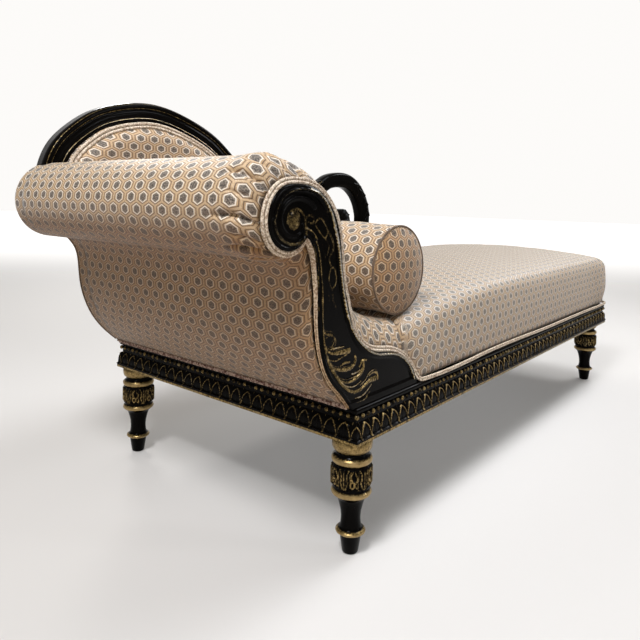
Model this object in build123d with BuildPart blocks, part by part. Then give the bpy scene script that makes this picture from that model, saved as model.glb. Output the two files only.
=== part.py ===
from build123d import *
import os
from math import cos, radians, sin

# A recamier: a long seat on four turned legs, with a rolled head end, a carved scroll
# facing on the open side, and a low shaped back that ends in a large open scroll.
# Millimetres. +X runs from the head to the foot, the open side faces -Y, +Z is up,
# and the origin is on the floor under the middle of the bounding box.

os.makedirs("parts", exist_ok=True)

# ---------------------------------------------------------------- driving dimensions
# base frame
frame_length = 1603.6        # outside of the head rail to outside of the foot rail
frame_depth = 770.2          # outside of the front rail to outside of the back rail
leg_height = 221.3           # floor to the underside of the rails
rail_height = 66.2
rail_thickness = 26.0
foot_corner_radius = 30.0    # outside radius where the rail turns at the foot
ledge_depth = 13.6           # how far the rail steps out in front of the facing
head_leg_inset = 38.6        # leg axis from the two outside faces, head end
foot_leg_inset = 59.4        # the same at the foot end
block_size = 62.0
block_height = 44.0
spigot_radius = 10.0
spigot_clearance = 0.2
spigot_length = 36.0
cross_rail_width = 45.0
cross_rail_height = 40.0
cross_rail_count = 3
cleat_size = 20.0
strap_width = 50.0
strap_thickness = 1.5
strap_rows_across = 11
strap_rows_along = 4
hessian_thickness = 3.2
dust_cover_thickness = 1.0
dust_cover_inset = 12.0
leg_clearance_radius = 42.0  # hole in the dust cover round each leg

# head end
roll_radius = 84.0
roll_overhang = 184.4        # roll axis beyond the head rail
roll_rise = 364.5            # roll axis above the rails
roll_core_radius = 50.0
roll_core_wall = 8.0
board_thickness = 22.0
board_width = 46.0
panel_thickness = 8.0
facing_thickness = 22.0
rim_width = 7.0
rim_inset = 1.5              # raised rim, from the edge of the facing
rim_height = 4.0
volute_radius = 57.0
volute_offset = 164.4        # volute eye beyond the head rail
volute_rise = 345.8          # volute eye above the rails
volute_tightening = 0.144    # mm of radius lost per degree towards the cusp
eye_radius = 16.0
border_depth = 12.5          # padded border round the facing

# seat
seat_seam = 180.6            # seam between head pad and seat, from the head rail
seat_side_inset = 8.0        # seat boxing inside the rails' outer faces
seat_overhang = 10.0         # the seat bulges past the foot rail
seat_rise = 176.0            # shoulder of the seat above the rails, mid length
seat_crown = 22.0
seat_head_drop = 42.0        # the seat is this much lower at the seam

# back
back_thickness = 38.0
back_pad_front = 30.0        # the back pad stands this far in front of its frame
stile_reveal = 7.0           # rear edge of the stile left showing past the outside panel
back_pad_depth = 48.0
crest_width = 48.0
scroll_offset = 866.6        # axis of the end scroll from the head rail
scroll_rise = 294.5
scroll_radius = 180.0
scroll_width = 50.0
rosette_radius = 50.0
rosette_depth = 8.0
rosette_petals = 8
post_width = 56.0
post_inset = 88.0            # right side of the post, from the scroll's axis
stile_foot_width = 60.0
scroll_tail_width = 46.0
webbing_thickness = 2.0

# bolster
bolster_radius = 93.0
bolster_inset = 36.5         # front seam behind the facing
bolster_dome = 14.0
bolster_clearance = 4.5      # between its far end and the back pad
bolster_offset = 202.6       # bolster axis from the head rail
bolster_rise = 233.8         # bolster axis above the rails

gap = 0.3                    # between soft pieces and what they lie against
overrun = 5.0                # how far a cutting shape reaches past what it cuts
station_spacing = 40.0       # between the points that carry an offset curve

# ---------------------------------------------------------------- derived places
rail_top = leg_height + rail_height
head_x = (roll_overhang + roll_radius - frame_length - seat_overhang) / 2
foot_x = head_x + frame_length
half_depth = frame_depth / 2
facing_y = -(half_depth - ledge_depth)
board_y = facing_y + facing_thickness
back_rear_y = half_depth - ledge_depth
back_front_y = back_rear_y - back_thickness
back_pad_y = back_front_y - back_pad_front
head_pad_end_y = back_front_y - gap
roll_x = head_x - roll_overhang
roll_z = rail_top + roll_rise
volute_x = head_x - volute_offset
volute_z = rail_top + volute_rise
scroll_x = head_x + scroll_offset
scroll_z = rail_top + scroll_rise
bolster_x = head_x + bolster_offset
bolster_z = rail_top + bolster_rise
bolster_front_y = facing_y + bolster_inset
bolster_back_y = back_pad_y - bolster_clearance - bolster_dome
seam_x = head_x + seat_seam
post_right_x = scroll_x - post_inset
post_left_x = post_right_x - post_width

leg_places = {
    "leg_head_front": (head_x + head_leg_inset, -half_depth + head_leg_inset),
    "leg_head_back": (head_x + head_leg_inset, half_depth - head_leg_inset),
    "leg_foot_front": (foot_x - foot_leg_inset, -half_depth + foot_leg_inset),
    "leg_foot_back": (foot_x - foot_leg_inset, half_depth - foot_leg_inset),
}

cut_reach = frame_length     # side of the blocks that trim a section level with the rails

finished = []


def scroll_radius_at(turn):
    """Outside radius of the scroll; it tightens once past its right-hand side."""
    past = max(0.0, 10 - turn) / 190
    closing = scroll_radius - rosette_radius - scroll_tail_width + 2
    return scroll_radius + 3 - 3 * (127 - turn) / 117 - closing * past ** 1.3


def finish(part, name):
    """Label a finished piece and write its file."""
    part.label = name
    export_step(part, f"parts/{name}.step")
    finished.append((name, part.volume, len(part.solids())))


def side_plane(y):
    """A plane facing the open side, its axes along +X and +Z."""
    return Plane.XZ.offset(-y)


def from_rail(*points):
    """Points given from the top outer edge of the head rail, in the row's X and Z."""
    return [(head_x + dx, rail_top + dz) for dx, dz in points]


# ---------------------------------------------------------------- outlines of the head end
# outside of the head, from the rail up to the underside of the roll
outside_curve = from_rail((-2, 1), (-40, 34), (-77, 77), (-100, 122), (-112, 165),
                          (-117, 210), (-126, 250), (-155.7, 285.6))
# inside of the head, from the top of the roll down to the seat seam
inside_curve = from_rail((-96, 409), (-72, 387), (-53, 350), (-34, 300), (-19, 256),
                         (2, 219), (32, 182), (78, 158), (125, 142)) + [(seam_x, rail_top + 135)]
# the carved facing: left edge from the rail to the cusp under the volute
facing_left = from_rail((-1, 0), (-29, 32), (-56, 58), (-78, 90), (-92, 130),
                        (-99, 178), (-101, 224), (-106, 262), (-118, 303), (-133, 318))
# and its right edge, from beside the volute down to the toe on the rail
facing_right = from_rail((-98.6, 384), (-67, 351), (-51, 325), (-41.7, 293), (-36, 258),
                         (-30.7, 230), (-16, 188), (-2, 150), (18, 123), (42.5, 104),
                         (73, 92), (126, 82), (160, 69.6), (193, 49), (212, 29), (222, 0))


def below_rails():
    """A block from the rails' top downwards, to trim what stands on them."""
    with BuildSketch() as face:
        with Locations((head_x, rail_top)):
            Rectangle(cut_reach, cut_reach, align=(Align.CENTER, Align.MAX))
    return face.sketch


def head_face():
    """The head's section: outside curve, roll, inside curve and the flat base."""
    with BuildSketch() as face:
        with BuildLine():
            outer = Spline(*outside_curve)
            top = (roll_x, roll_z + roll_radius)
            ThreePointArc(outer @ 1, (roll_x - roll_radius, roll_z), top)
            inner = Spline(top, *inside_curve, tangents=((1, 0), (1, -0.05)))
            Polyline(inner @ 1, (seam_x, rail_top + gap), (head_x, rail_top + gap), outer @ 0)
        make_face()
    return face.sketch


def inward(curve, distance):
    """Points at a set distance to the right of a curve's direction of travel."""
    points = []
    stations = max(8, round(curve.length / station_spacing))
    for step in range(stations + 1):
        share = step / stations
        along = curve % share
        width = distance[0] + (distance[1] - distance[0]) * share
        points.append(curve @ share + Vector(along.Y, -along.X) * width)
    return points


def band_face(points, tangents, start, end):
    """A strip beside a curve, between the distances start and end from it.

    Both are pairs: the distance at the curve's first point and at its last.
    """
    path = Spline(*points, tangents=tangents, mode=Mode.PRIVATE)
    near = inward(path, start)
    far = inward(path, end)
    with BuildSketch() as face:
        with BuildLine():
            one = Spline(*near)
            Line(one @ 1, far[-1])
            Spline(*reversed(far))
            Line(far[0], one @ 0)
        make_face()
    return face.sketch


def volute_point(turn, radius):
    """A point of the front volute: turn in degrees, anticlockwise from +X."""
    return (volute_x + radius * cos(radians(turn)), volute_z + radius * sin(radians(turn)))


# round the volute from the cusp, clockwise to its top; it closes in towards the cusp
volute_turns = range(306, 60, -32)
volute_edge = [volute_point(turn, volute_radius - volute_tightening * max(0, turn - 215))
               for turn in volute_turns]


def facing_face():
    """The scroll facing: round volute, waisted stem and long toe."""
    with BuildSketch() as face:
        with BuildLine():
            left = Spline(*facing_left)
            Spline(left @ 1, *volute_edge, *facing_right)
            Line(facing_right[-1], left @ 0)
        make_face()
    return face.sketch


def spiral_face(turn_start, turn_end, radius_start, radius_end, width):
    """A tapering spiral ridge round the eye of the front volute."""
    count = 14
    outer = []
    inner = []
    for step in range(count + 1):
        share = step / count
        turn = turn_start + (turn_end - turn_start) * share
        radius = radius_start + (radius_end - radius_start) * share
        outer.append(volute_point(turn, radius))
        inner.append(volute_point(turn, radius - width * (1 - share / 2)))
    with BuildSketch() as face:
        with BuildLine():
            edge = Spline(*outer)
            Line(edge @ 1, inner[-1])
            Spline(*reversed(inner))
            Line(inner[0], edge @ 0)
        make_face()
    return face.sketch


# ---------------------------------------------------------------- base frame
def rail_section():
    """Rail section, x outwards from the outer face and y up from the underside."""
    with BuildSketch() as section:
        with BuildLine():
            top = rail_height
            Polyline((-rail_thickness, top), (-rail_thickness, 0), (0, 0), (0, 9), (-3, 11))
            ThreePointArc((-3, 11), (-4, 28), (-10, 39))
            Polyline((-10, 39), (-10, 46))
            ThreePointArc((-10, 46), (-6, 50), (-10, 54))
            Polyline((-10, 54), (-10, 57), (-5, 58), (-5, 61))
            Spline((-5, 61), (-ledge_depth, top), tangents=((0, 1), (-1, 0)))
            Line((-ledge_depth, top), (-rail_thickness, top))
        make_face()
    return section.sketch


profile = rail_section()
straight_end_x = foot_x - foot_corner_radius

for name, side in (("front_rail", -1), ("back_rail", 1)):
    run = Plane(origin=(head_x, side * half_depth, leg_height), x_dir=(0, side, 0),
                z_dir=(side, 0, 0))
    mitre = Plane(origin=(head_x, side * half_depth, 0), z_dir=(1, side, 0))
    with BuildPart() as rail:
        with BuildSketch(run):
            add(profile)
        extrude(amount=side * (straight_end_x - head_x))
        split(bisect_by=mitre, keep=Keep.TOP)
    finish(rail.part, name)

with BuildPart() as head_rail:
    with BuildSketch(Plane(origin=(head_x, half_depth, leg_height), x_dir=(-1, 0, 0),
                           z_dir=(0, 1, 0))):
        add(profile)
    extrude(amount=-frame_depth)
    split(bisect_by=Plane(origin=(head_x, half_depth, 0), z_dir=(-1, -1, 0)), keep=Keep.TOP)
    split(bisect_by=Plane(origin=(head_x, -half_depth, 0), z_dir=(-1, 1, 0)), keep=Keep.TOP)
finish(head_rail.part, "head_rail")

with BuildPart() as foot_rail:
    with BuildLine() as foot_path:
        start = (straight_end_x, -half_depth, leg_height)
        first = JernArc(start, (1, 0, 0), foot_corner_radius, 90)
        middle = Line(first @ 1, first @ 1 + Vector(0, frame_depth - 2 * foot_corner_radius, 0))
        JernArc(middle @ 1, (0, 1, 0), foot_corner_radius, 90)
    with BuildSketch(Plane(origin=start, x_dir=(0, -1, 0), z_dir=(-1, 0, 0))):
        add(profile)
    sweep(path=foot_path.line)
finish(foot_rail.part, "foot_rail")

block_bottom = leg_height
for leg_name, (leg_x, leg_y) in leg_places.items():
    at_head = "head" in leg_name
    side = 1 if leg_y > 0 else -1
    outward_x = head_x + rail_thickness if at_head else foot_x - rail_thickness
    centre_x = outward_x + block_size / 2 if at_head else outward_x - block_size / 2
    centre_y = side * (half_depth - rail_thickness - block_size / 2)
    with BuildPart() as block:
        with BuildSketch(Plane.XY.offset(block_bottom)):
            with Locations((centre_x, centre_y)):
                Rectangle(block_size, block_size)
            with Locations((leg_x, leg_y)):
                Circle(spigot_radius + spigot_clearance, mode=Mode.SUBTRACT)
        extrude(amount=block_height)
        if not at_head:
            edge = block.edges().filter_by(Axis.Z).sort_by(
                lambda line: -line.center().X - side * line.center().Y)[0]
            fillet(edge, radius=foot_corner_radius - rail_thickness + 1)
    finish(block.part, leg_name.replace("leg", "corner_block"))


def leg_profile():
    """Half section of a turned leg, x from its axis and y up from the floor."""
    with BuildSketch() as half:
        with BuildLine():
            top = leg_height
            Polyline((0, 0), (14, 0), (15.5, 3), (21, 35), (21, 37))
            ThreePointArc((21, 37), (28.8, 42.6), (21.5, 48.5))
            Spline((21.5, 48.5), (18.6, 70), (27, top - 113), tangents=((-0.3, 1), (0.55, 1)))
            Line((27, top - 113), (34, top - 108))
            ThreePointArc((34, top - 108), (38.8, top - 102), (34, top - 95))
            Polyline((34, top - 95), (35, top - 92), (36.5, top - 88), (37, top - 53),
                     (34, top - 47))
            ThreePointArc((34, top - 47), (39.2, top - 39), (33, top - 32))
            ThreePointArc((33, top - 32), (30.2, top - 28), (32, top - 24))
            ThreePointArc((32, top - 24), (37.5, top - 16), (38.4, top))
            Polyline((38.4, top), (spigot_radius, top), (spigot_radius, top + spigot_length),
                     (0, top + spigot_length), (0, 0))
        make_face()
    return half.sketch


turned = leg_profile()
for leg_name, (leg_x, leg_y) in leg_places.items():
    with BuildPart() as leg:
        with BuildSketch(Plane(origin=(leg_x, leg_y, 0), x_dir=(1, 0, 0), z_dir=(0, -1, 0))):
            add(turned)
        revolve(axis=Axis((leg_x, leg_y, 0), (0, 0, 1)))
    finish(leg.part, leg_name)

# cross rails between the long rails, clear of the leg blocks
inner_half = half_depth - rail_thickness
cross_span = frame_length - 2 * (rail_thickness + block_size)
for index in range(cross_rail_count):
    share = (index + 1) / (cross_rail_count + 1)
    cross_x = head_x + rail_thickness + block_size + cross_span * share
    with BuildPart() as cross_rail:
        with BuildSketch(Plane.XY.offset(leg_height + 1)):
            with Locations((cross_x, 0)):
                Rectangle(cross_rail_width, 2 * inner_half)
        extrude(amount=cross_rail_height)
    finish(cross_rail.part, f"cross_rail_{index + 1}")

# cleats along the long rails carry the webbing, just under the rails' top
deck_bottom = rail_top - gap - hessian_thickness
strap_bottom = deck_bottom - 2 * strap_thickness
cleat_start = head_x + rail_thickness + block_size + 2
cleat_end = foot_x - rail_thickness - block_size - 2
for name, side in (("front_cleat", -1), ("back_cleat", 1)):
    with BuildPart() as cleat:
        with BuildSketch(Plane.XY.offset(strap_bottom - cleat_size + strap_thickness)):
            with Locations(((cleat_start + cleat_end) / 2, side * (inner_half - cleat_size / 2))):
                Rectangle(cleat_end - cleat_start, cleat_size)
        extrude(amount=cleat_size - strap_thickness)
    finish(cleat.part, name)
for name, place_x in (("head_cleat", head_x + rail_thickness + cleat_size / 2),
                      ("foot_cleat", foot_x - rail_thickness - cleat_size / 2)):
    with BuildPart() as cleat:
        with BuildSketch(Plane.XY.offset(strap_bottom - cleat_size + strap_thickness)):
            with Locations((place_x, 0)):
                Rectangle(cleat_size, 2 * (inner_half - block_size - 2))
        extrude(amount=cleat_size)
    finish(cleat.part, name)

with BuildPart() as webbing:
    with BuildSketch(Plane.XY.offset(strap_bottom)):
        spread = (cleat_end - cleat_start - strap_width) / (strap_rows_across - 1)
        with Locations(((cleat_start + cleat_end) / 2, 0)):
            with GridLocations(spread, 1, strap_rows_across, 1):
                Rectangle(strap_width, 2 * inner_half)
    extrude(amount=strap_thickness)
    with BuildSketch(Plane.XY.offset(strap_bottom + strap_thickness)):
        run_length = frame_length - 2 * rail_thickness
        spread = 2 * (inner_half - block_size - 2 - strap_width / 2) / (strap_rows_along - 1)
        with Locations((head_x + frame_length / 2, 0)):
            with GridLocations(1, spread, 1, strap_rows_along):
                Rectangle(run_length, strap_width)
    extrude(amount=strap_thickness)
finish(webbing.part, "seat_webbing")

with BuildPart() as deck:
    with BuildSketch(Plane.XY.offset(deck_bottom)):
        with Locations((head_x + frame_length / 2, 0)):
            Rectangle(frame_length - 2 * rail_thickness, 2 * inner_half)
    extrude(amount=hessian_thickness)
    outer_corners = deck.edges().filter_by(Axis.Z).group_by(Axis.X)[-1]
    fillet(outer_corners, radius=foot_corner_radius - rail_thickness)
finish(deck.part, "seat_hessian")

with BuildPart() as dust_cover:
    with BuildSketch(Plane.XY.offset(leg_height - dust_cover_thickness)):
        with Locations((head_x + frame_length / 2, 0)):
            RectangleRounded(frame_length - 2 * dust_cover_inset,
                             frame_depth - 2 * dust_cover_inset,
                             foot_corner_radius - dust_cover_inset)
        with Locations(*leg_places.values()):
            Circle(leg_clearance_radius, mode=Mode.SUBTRACT)
    extrude(amount=dust_cover_thickness)
finish(dust_cover.part, "dust_cover")

# ---------------------------------------------------------------- head end
head_section = head_face()
facing_section = facing_face()

outer_skin = band_face(outside_curve, None, (-overrun, -overrun),
                       (panel_thickness, panel_thickness))
board_strip = band_face(outside_curve[:-1] + from_rail((-150, 300)), None, (0, 0),
                        (panel_thickness + board_width, panel_thickness + board_width))

with BuildSketch() as panel_shape:
    add(head_section)
    add(outer_skin, mode=Mode.INTERSECT)
panel_section = panel_shape.sketch

with BuildSketch() as board_shape:
    add(board_strip)
    with Locations((roll_x, roll_z)):
        Circle(roll_core_radius)
    with BuildLine():
        Polyline(*from_rail((-150, 300), (-190, 330), (-150, 400), (-100, 330)), close=True)
    make_face()
    add(below_rails(), mode=Mode.SUBTRACT)
    add(outer_skin, mode=Mode.SUBTRACT)
board_section = board_shape.sketch

for name, y in (("head_front_board", board_y + board_thickness),
                ("head_back_board", head_pad_end_y)):
    with BuildPart() as board:
        with BuildSketch(side_plane(y)):
            add(board_section)
        extrude(amount=board_thickness)
    finish(board.part, name)

board_span = head_pad_end_y - board_thickness - (board_y + board_thickness)
with BuildPart() as roll_core:
    with BuildSketch(side_plane(head_pad_end_y - board_thickness)):
        with Locations((roll_x, roll_z)):
            Circle(roll_core_radius)
            Circle(roll_core_radius - roll_core_wall, mode=Mode.SUBTRACT)
    extrude(amount=board_span)
finish(roll_core.part, "head_roll_core")

# the outside panel wraps past the back's stile and leaves its rear edge showing
with BuildPart() as outside_panel:
    with BuildSketch(side_plane(back_rear_y - stile_reveal)):
        add(panel_section)
    extrude(amount=back_rear_y - stile_reveal - board_y)
finish(outside_panel.part, "head_outside_panel")

with BuildPart() as head_pad:
    with BuildSketch(side_plane(head_pad_end_y)):
        add(head_section)
        add(board_section, mode=Mode.SUBTRACT)
        add(outer_skin, mode=Mode.SUBTRACT)
    extrude(amount=head_pad_end_y - board_y)
finish(head_pad.part, "head_inside_pad")

with BuildPart() as border:
    with BuildSketch(side_plane(board_y - gap)):
        add(head_section)
        add(facing_section, mode=Mode.SUBTRACT)
    extrude(amount=border_depth - gap)
finish(border.part, "head_front_border")

rim_span = (rim_inset, rim_inset), (rim_inset + rim_width, rim_inset + rim_width)
left_rim = band_face(facing_left, None, *rim_span)
right_rim = band_face(facing_right, None, *rim_span)
volute_ridge = spiral_face(30, 440, volute_radius + 4, eye_radius + 6, rim_width)
with BuildPart() as facing:
    with BuildSketch(side_plane(board_y)):
        add(facing_section)
    extrude(amount=facing_thickness)
    with BuildSketch(side_plane(facing_y)):
        add(left_rim)
        add(right_rim)
        add(volute_ridge)
        add(below_rails(), mode=Mode.SUBTRACT)
    extrude(amount=rim_height)
finish(facing.part, "front_scroll_facing")

with BuildPart() as eye:
    with BuildSketch(side_plane(facing_y)):
        with Locations((volute_x, volute_z)):
            Circle(eye_radius)
    extrude(amount=rim_height + 2)
    fillet(eye.faces().sort_by(Axis.Y)[0].edges(), radius=2)
finish(eye.part, "front_scroll_eye")

# ---------------------------------------------------------------- seat
seat_bottom = rail_top + gap
seat_half = half_depth - seat_side_inset
seat_end_x = foot_x + seat_overhang


def seat_station(share):
    """Half width, shoulder height and crown of the seat at a share of its length."""
    rise = seat_rise - seat_head_drop * max(0.0, 1 - share / 0.3) ** 1.5
    return seat_half, rise, seat_crown * min(1.0, 0.35 + share * 2)


def seat_outline(x, half, rise, crown, shoulder):
    """One cross section of the seat: bowed sides, round shoulders, crowned top."""
    low = seat_bottom
    high = rail_top + rise
    with BuildSketch(Plane.YZ.offset(x)) as outline:
        with BuildLine():
            Line((-half, low), (half, low))
            ThreePointArc((half, low), (half + 4, (low + high - shoulder) / 2),
                          (half, high - shoulder))
            ThreePointArc((half, high - shoulder),
                          (half - shoulder * 0.29, high - shoulder * 0.29),
                          (half - shoulder, high))
            ThreePointArc((half - shoulder, high), (0, high + crown), (shoulder - half, high))
            ThreePointArc((shoulder - half, high),
                          (shoulder * 0.29 - half, high - shoulder * 0.29),
                          (-half, high - shoulder))
            ThreePointArc((-half, high - shoulder), (-half - 4, (low + high - shoulder) / 2),
                          (-half, low))
        make_face()
    return outline.sketch


seat_length = seat_end_x - seam_x
shoulder_radius = 34.0
with BuildPart() as seat_pad:
    for share in (0.0, 0.06, 0.12, 0.2, 0.3):
        half, rise, crown = seat_station(share)
        add(seat_outline(seam_x + seat_length * share, half, rise, crown, shoulder_radius))
    half, rise, crown = seat_station(1.0)
    for back_off, narrow, lower in ((36, 0, 0), (21, 3, 3), (9, 10, 9), (2, 21, 18), (0, 34, 30)):
        add(seat_outline(seat_end_x - back_off, half - narrow, rise - lower, crown,
                         shoulder_radius))
    loft(ruled=True)
    # the back stands in this notch, and the scroll dips into the one beyond it
    with BuildSketch(Plane.XY.offset(rail_top - 1)):
        notch_end = post_right_x + gap
        with Locations(((seam_x + notch_end) / 2 - 10, half_depth)):
            Rectangle(notch_end - seam_x + 20, 2 * (half_depth - back_pad_y + gap))
    extrude(amount=seat_rise * 2, mode=Mode.SUBTRACT)
    with BuildSketch(Plane.XY.offset(scroll_z - scroll_radius_at(-75) - gap)):
        with Locations((scroll_x, half_depth)):
            Rectangle(2 * scroll_radius, 2 * (half_depth - back_front_y + rosette_depth * 2))
    extrude(amount=seat_rise, mode=Mode.SUBTRACT)
    # the toe of the facing stands in front of the boxing
    with BuildSketch(side_plane(board_y + gap)):
        add(facing_section)
    extrude(amount=half_depth, mode=Mode.SUBTRACT)
    # the bolster lies in a shallow hollow
    with BuildSketch(side_plane(back_pad_y)):
        with Locations((bolster_x, bolster_z)):
            Circle(bolster_radius + gap)
    extrude(amount=frame_depth, mode=Mode.SUBTRACT)
finish(seat_pad.part, "seat_pad")

# ---------------------------------------------------------------- back
# the stile runs just inside the outside panel, then up through the end of the roll
stile_curve = from_rail((51, -34), (13.5, 0), (-32.5, 41), (-69.9, 81.8), (-92, 125.2),
                        (-103.6, 166.6), (-108.5, 211.4), (-118.3, 253.9), (-147, 297),
                        (-191, 341), (-221, 392), (-217.4, 442.5))
crest_curve = from_rail((-217.4, 442.5), (-193, 497), (-150, 541), (-99, 576), (-18, 604),
                        (67, 613.5), (190, 588), (295, 539), (343, 502), (395, 463),
                        (455, 430), (520, 409), (583, 400), (642, 401), (700, 412)) + [
    (scroll_x + (scroll_radius + 3) * cos(radians(127)),
     scroll_z + (scroll_radius + 3) * sin(radians(127)))]
crest_path = Spline(*crest_curve, mode=Mode.PRIVATE)
stile_tangents = ((-0.7, 0.7), crest_path % 0)

stile_section = band_face(stile_curve, stile_tangents, (0, 0), (stile_foot_width, crest_width))
crest_section = band_face(crest_curve, None, (0, 0), (crest_width, scroll_width))

# the open end scroll: almost round above, tightening below until it meets its boss
scroll_turns = range(127, -182, -28)

scroll_curve = [(scroll_x + scroll_radius_at(turn) * cos(radians(turn)),
                 scroll_z + scroll_radius_at(turn) * sin(radians(turn)))
                for turn in scroll_turns]
scroll_section = band_face(scroll_curve, (crest_path % 1, (0.25, 1)), (0, 0),
                           (scroll_width, scroll_tail_width))

with BuildPart() as stile:
    with BuildSketch(side_plane(back_rear_y)):
        add(stile_section)
        add(below_rails(), mode=Mode.SUBTRACT)
    extrude(amount=back_thickness)
finish(stile.part, "back_head_stile")

# the far end of the roll, padded round the stile
stile_slot = band_face(stile_curve, stile_tangents, (-gap, -gap),
                       (crest_width / 2, crest_width / 2))
with BuildPart() as end_pad:
    with BuildSketch(side_plane(back_rear_y)):
        with Locations((roll_x, roll_z)):
            Circle(roll_radius)
        with BuildLine():
            stile_outside = Spline(*stile_curve, tangents=stile_tangents)
            above = roll_z + 2 * roll_radius
            Polyline(stile_outside @ 1, ((stile_outside @ 1).X, above), (seam_x, above),
                     (seam_x, stile_curve[0][1]), stile_outside @ 0)
        make_face(mode=Mode.SUBTRACT)
        add(stile_slot, mode=Mode.SUBTRACT)
        add(outer_skin, mode=Mode.SUBTRACT)
    extrude(amount=back_thickness)
finish(end_pad.part, "head_end_pad")

with BuildPart() as crest:
    with BuildSketch(side_plane(back_rear_y)):
        add(crest_section)
    extrude(amount=back_thickness)
finish(crest.part, "back_crest_rail")

with BuildPart() as scroll:
    with BuildSketch(side_plane(back_rear_y)):
        add(scroll_section)
        with Locations((scroll_x, scroll_z)):
            Circle(rosette_radius - 4)
    extrude(amount=back_thickness)
finish(scroll.part, "back_end_scroll")

with BuildPart() as rosette:
    with BuildSketch(side_plane(back_front_y)):
        with Locations((scroll_x, scroll_z)):
            Circle(rosette_radius * 0.7)
            with PolarLocations(rosette_radius * 0.62, rosette_petals):
                Circle(rosette_radius * 0.38)
    extrude(amount=rosette_depth)
    with BuildSketch(side_plane(back_front_y - rosette_depth)):
        with Locations((scroll_x, scroll_z)):
            Circle(rosette_radius * 0.32)
    extrude(amount=rosette_depth * 0.6)
finish(rosette.part, "back_rosette")

# the post stands on the back rail and carries the crest and the side of the scroll
crest_end = crest_curve[-1]
post_top = crest_end[1] - 0.8 * scroll_width
with BuildPart() as post:
    with BuildSketch(side_plane(back_rear_y)):
        with Locations(((post_left_x + post_right_x) / 2, (rail_top + post_top) / 2)):
            Rectangle(post_right_x - post_left_x, post_top - rail_top)
        add(crest_section, mode=Mode.SUBTRACT)
        add(scroll_section, mode=Mode.SUBTRACT)
    extrude(amount=back_thickness)
finish(post.part, "back_end_post")

# the opening inside the back's frame
stile_cutter = band_face(stile_curve, stile_tangents, (-overrun, -overrun),
                         (stile_foot_width, crest_width))
crest_cutter = band_face(crest_curve, None, (-overrun, -overrun), (crest_width, scroll_width))
with BuildSketch() as opening_shape:
    with BuildLine():
        stile_edge = Spline(*stile_curve, tangents=stile_tangents)
        crest_edge = Spline(*crest_curve)
        Polyline(crest_edge @ 1, (crest_end[0], stile_curve[0][1]), stile_edge @ 0)
    make_face()
    add(stile_cutter, mode=Mode.SUBTRACT)
    add(crest_cutter, mode=Mode.SUBTRACT)
    with Locations((post_left_x, rail_top)):
        Rectangle(cut_reach, cut_reach, align=(Align.MIN, Align.CENTER), mode=Mode.SUBTRACT)
    with Locations((post_left_x, rail_top + gap)):
        Rectangle(2 * cut_reach, cut_reach, align=(Align.MAX, Align.MAX), mode=Mode.SUBTRACT)
opening_section = opening_shape.sketch

with BuildPart() as back_pad:
    with BuildSketch(side_plane(back_pad_y + back_pad_depth)):
        add(opening_section)
        add(head_section, mode=Mode.SUBTRACT)
    extrude(amount=back_pad_depth)
finish(back_pad.part, "back_inside_pad")

with BuildPart() as back_webbing:
    with BuildSketch(side_plane(back_pad_y + back_pad_depth + gap + webbing_thickness)):
        add(opening_section)
    extrude(amount=webbing_thickness)
finish(back_webbing.part, "back_hessian")

with BuildPart() as back_panel:
    with BuildSketch(side_plane(back_rear_y - 2)):
        add(opening_section)
    extrude(amount=panel_thickness)
finish(back_panel.part, "back_outside_panel")

# ---------------------------------------------------------------- bolster
with BuildPart() as bolster:
    with BuildSketch(Plane.XY.offset(bolster_z)):
        with BuildLine():
            rim = bolster_x + bolster_radius
            front = (bolster_x, bolster_front_y - bolster_dome)
            back = (bolster_x, bolster_back_y + bolster_dome)
            fall = (bolster_radius, 2 * bolster_dome)
            rise = (-bolster_radius, 2 * bolster_dome)
            front_dome = Spline(front, (rim, bolster_front_y), tangents=((1, 0), fall))
            side = Line(front_dome @ 1, (rim, bolster_back_y))
            Spline(side @ 1, back, tangents=(rise, (-1, 0)))
            Line(back, front)
        make_face()
    revolve(axis=Axis((bolster_x, 0, bolster_z), (0, 1, 0)))
finish(bolster.part, "bolster")

print("\n".join(f"{name}: {solids} solid(s), {volume:.0f} mm3" for name, volume, solids in finished))
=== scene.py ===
import math

import bmesh
import bpy
import numpy as np
from mathutils import Matrix, Vector
from mathutils.geometry import delaunay_2d_cdt


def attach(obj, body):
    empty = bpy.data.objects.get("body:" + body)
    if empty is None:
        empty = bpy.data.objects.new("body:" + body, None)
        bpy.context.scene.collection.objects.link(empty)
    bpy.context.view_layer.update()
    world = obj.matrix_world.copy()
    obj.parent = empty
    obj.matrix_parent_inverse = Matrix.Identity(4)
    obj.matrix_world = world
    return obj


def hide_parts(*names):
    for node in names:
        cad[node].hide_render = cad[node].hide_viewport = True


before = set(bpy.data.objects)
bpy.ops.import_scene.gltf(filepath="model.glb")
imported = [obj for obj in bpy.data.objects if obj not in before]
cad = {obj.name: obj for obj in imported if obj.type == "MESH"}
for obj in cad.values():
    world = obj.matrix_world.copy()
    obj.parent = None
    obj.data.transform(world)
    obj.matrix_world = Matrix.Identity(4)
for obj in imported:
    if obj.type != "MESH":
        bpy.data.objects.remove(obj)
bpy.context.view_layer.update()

# Lengths are millimetres in the part's frame, and build() turns them into metres.
MM = 0.001
HEAD_X, FOOT_X, HALF = -672.6, 931.0, 385.1  # the rails' outer faces
RAIL_LOW, RAIL_TOP = 221.3, 287.5
FACING_Y, BOARD_Y = -371.5, -349.5
ROLL = (-857.0, 652.0, 84.0)  # centre X, centre Z, radius
VOLUTE = (-837.0, 633.3, 57.0)
SCROLL = (194.0, 582.0)  # centre X and Z
SEAM_X = -492.0  # where the head's inside goes down behind the seat


# ---- curves
def lengths(vectors):
    return np.linalg.norm(vectors, axis=-1)


def travelled(path):
    """The distance along a polyline, at each of its points."""
    return np.r_[0, np.cumsum(lengths(np.diff(path, axis=0)))]


def full_turn(count):
    return np.linspace(0, 2 * np.pi, count, endpoint=False)


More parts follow.
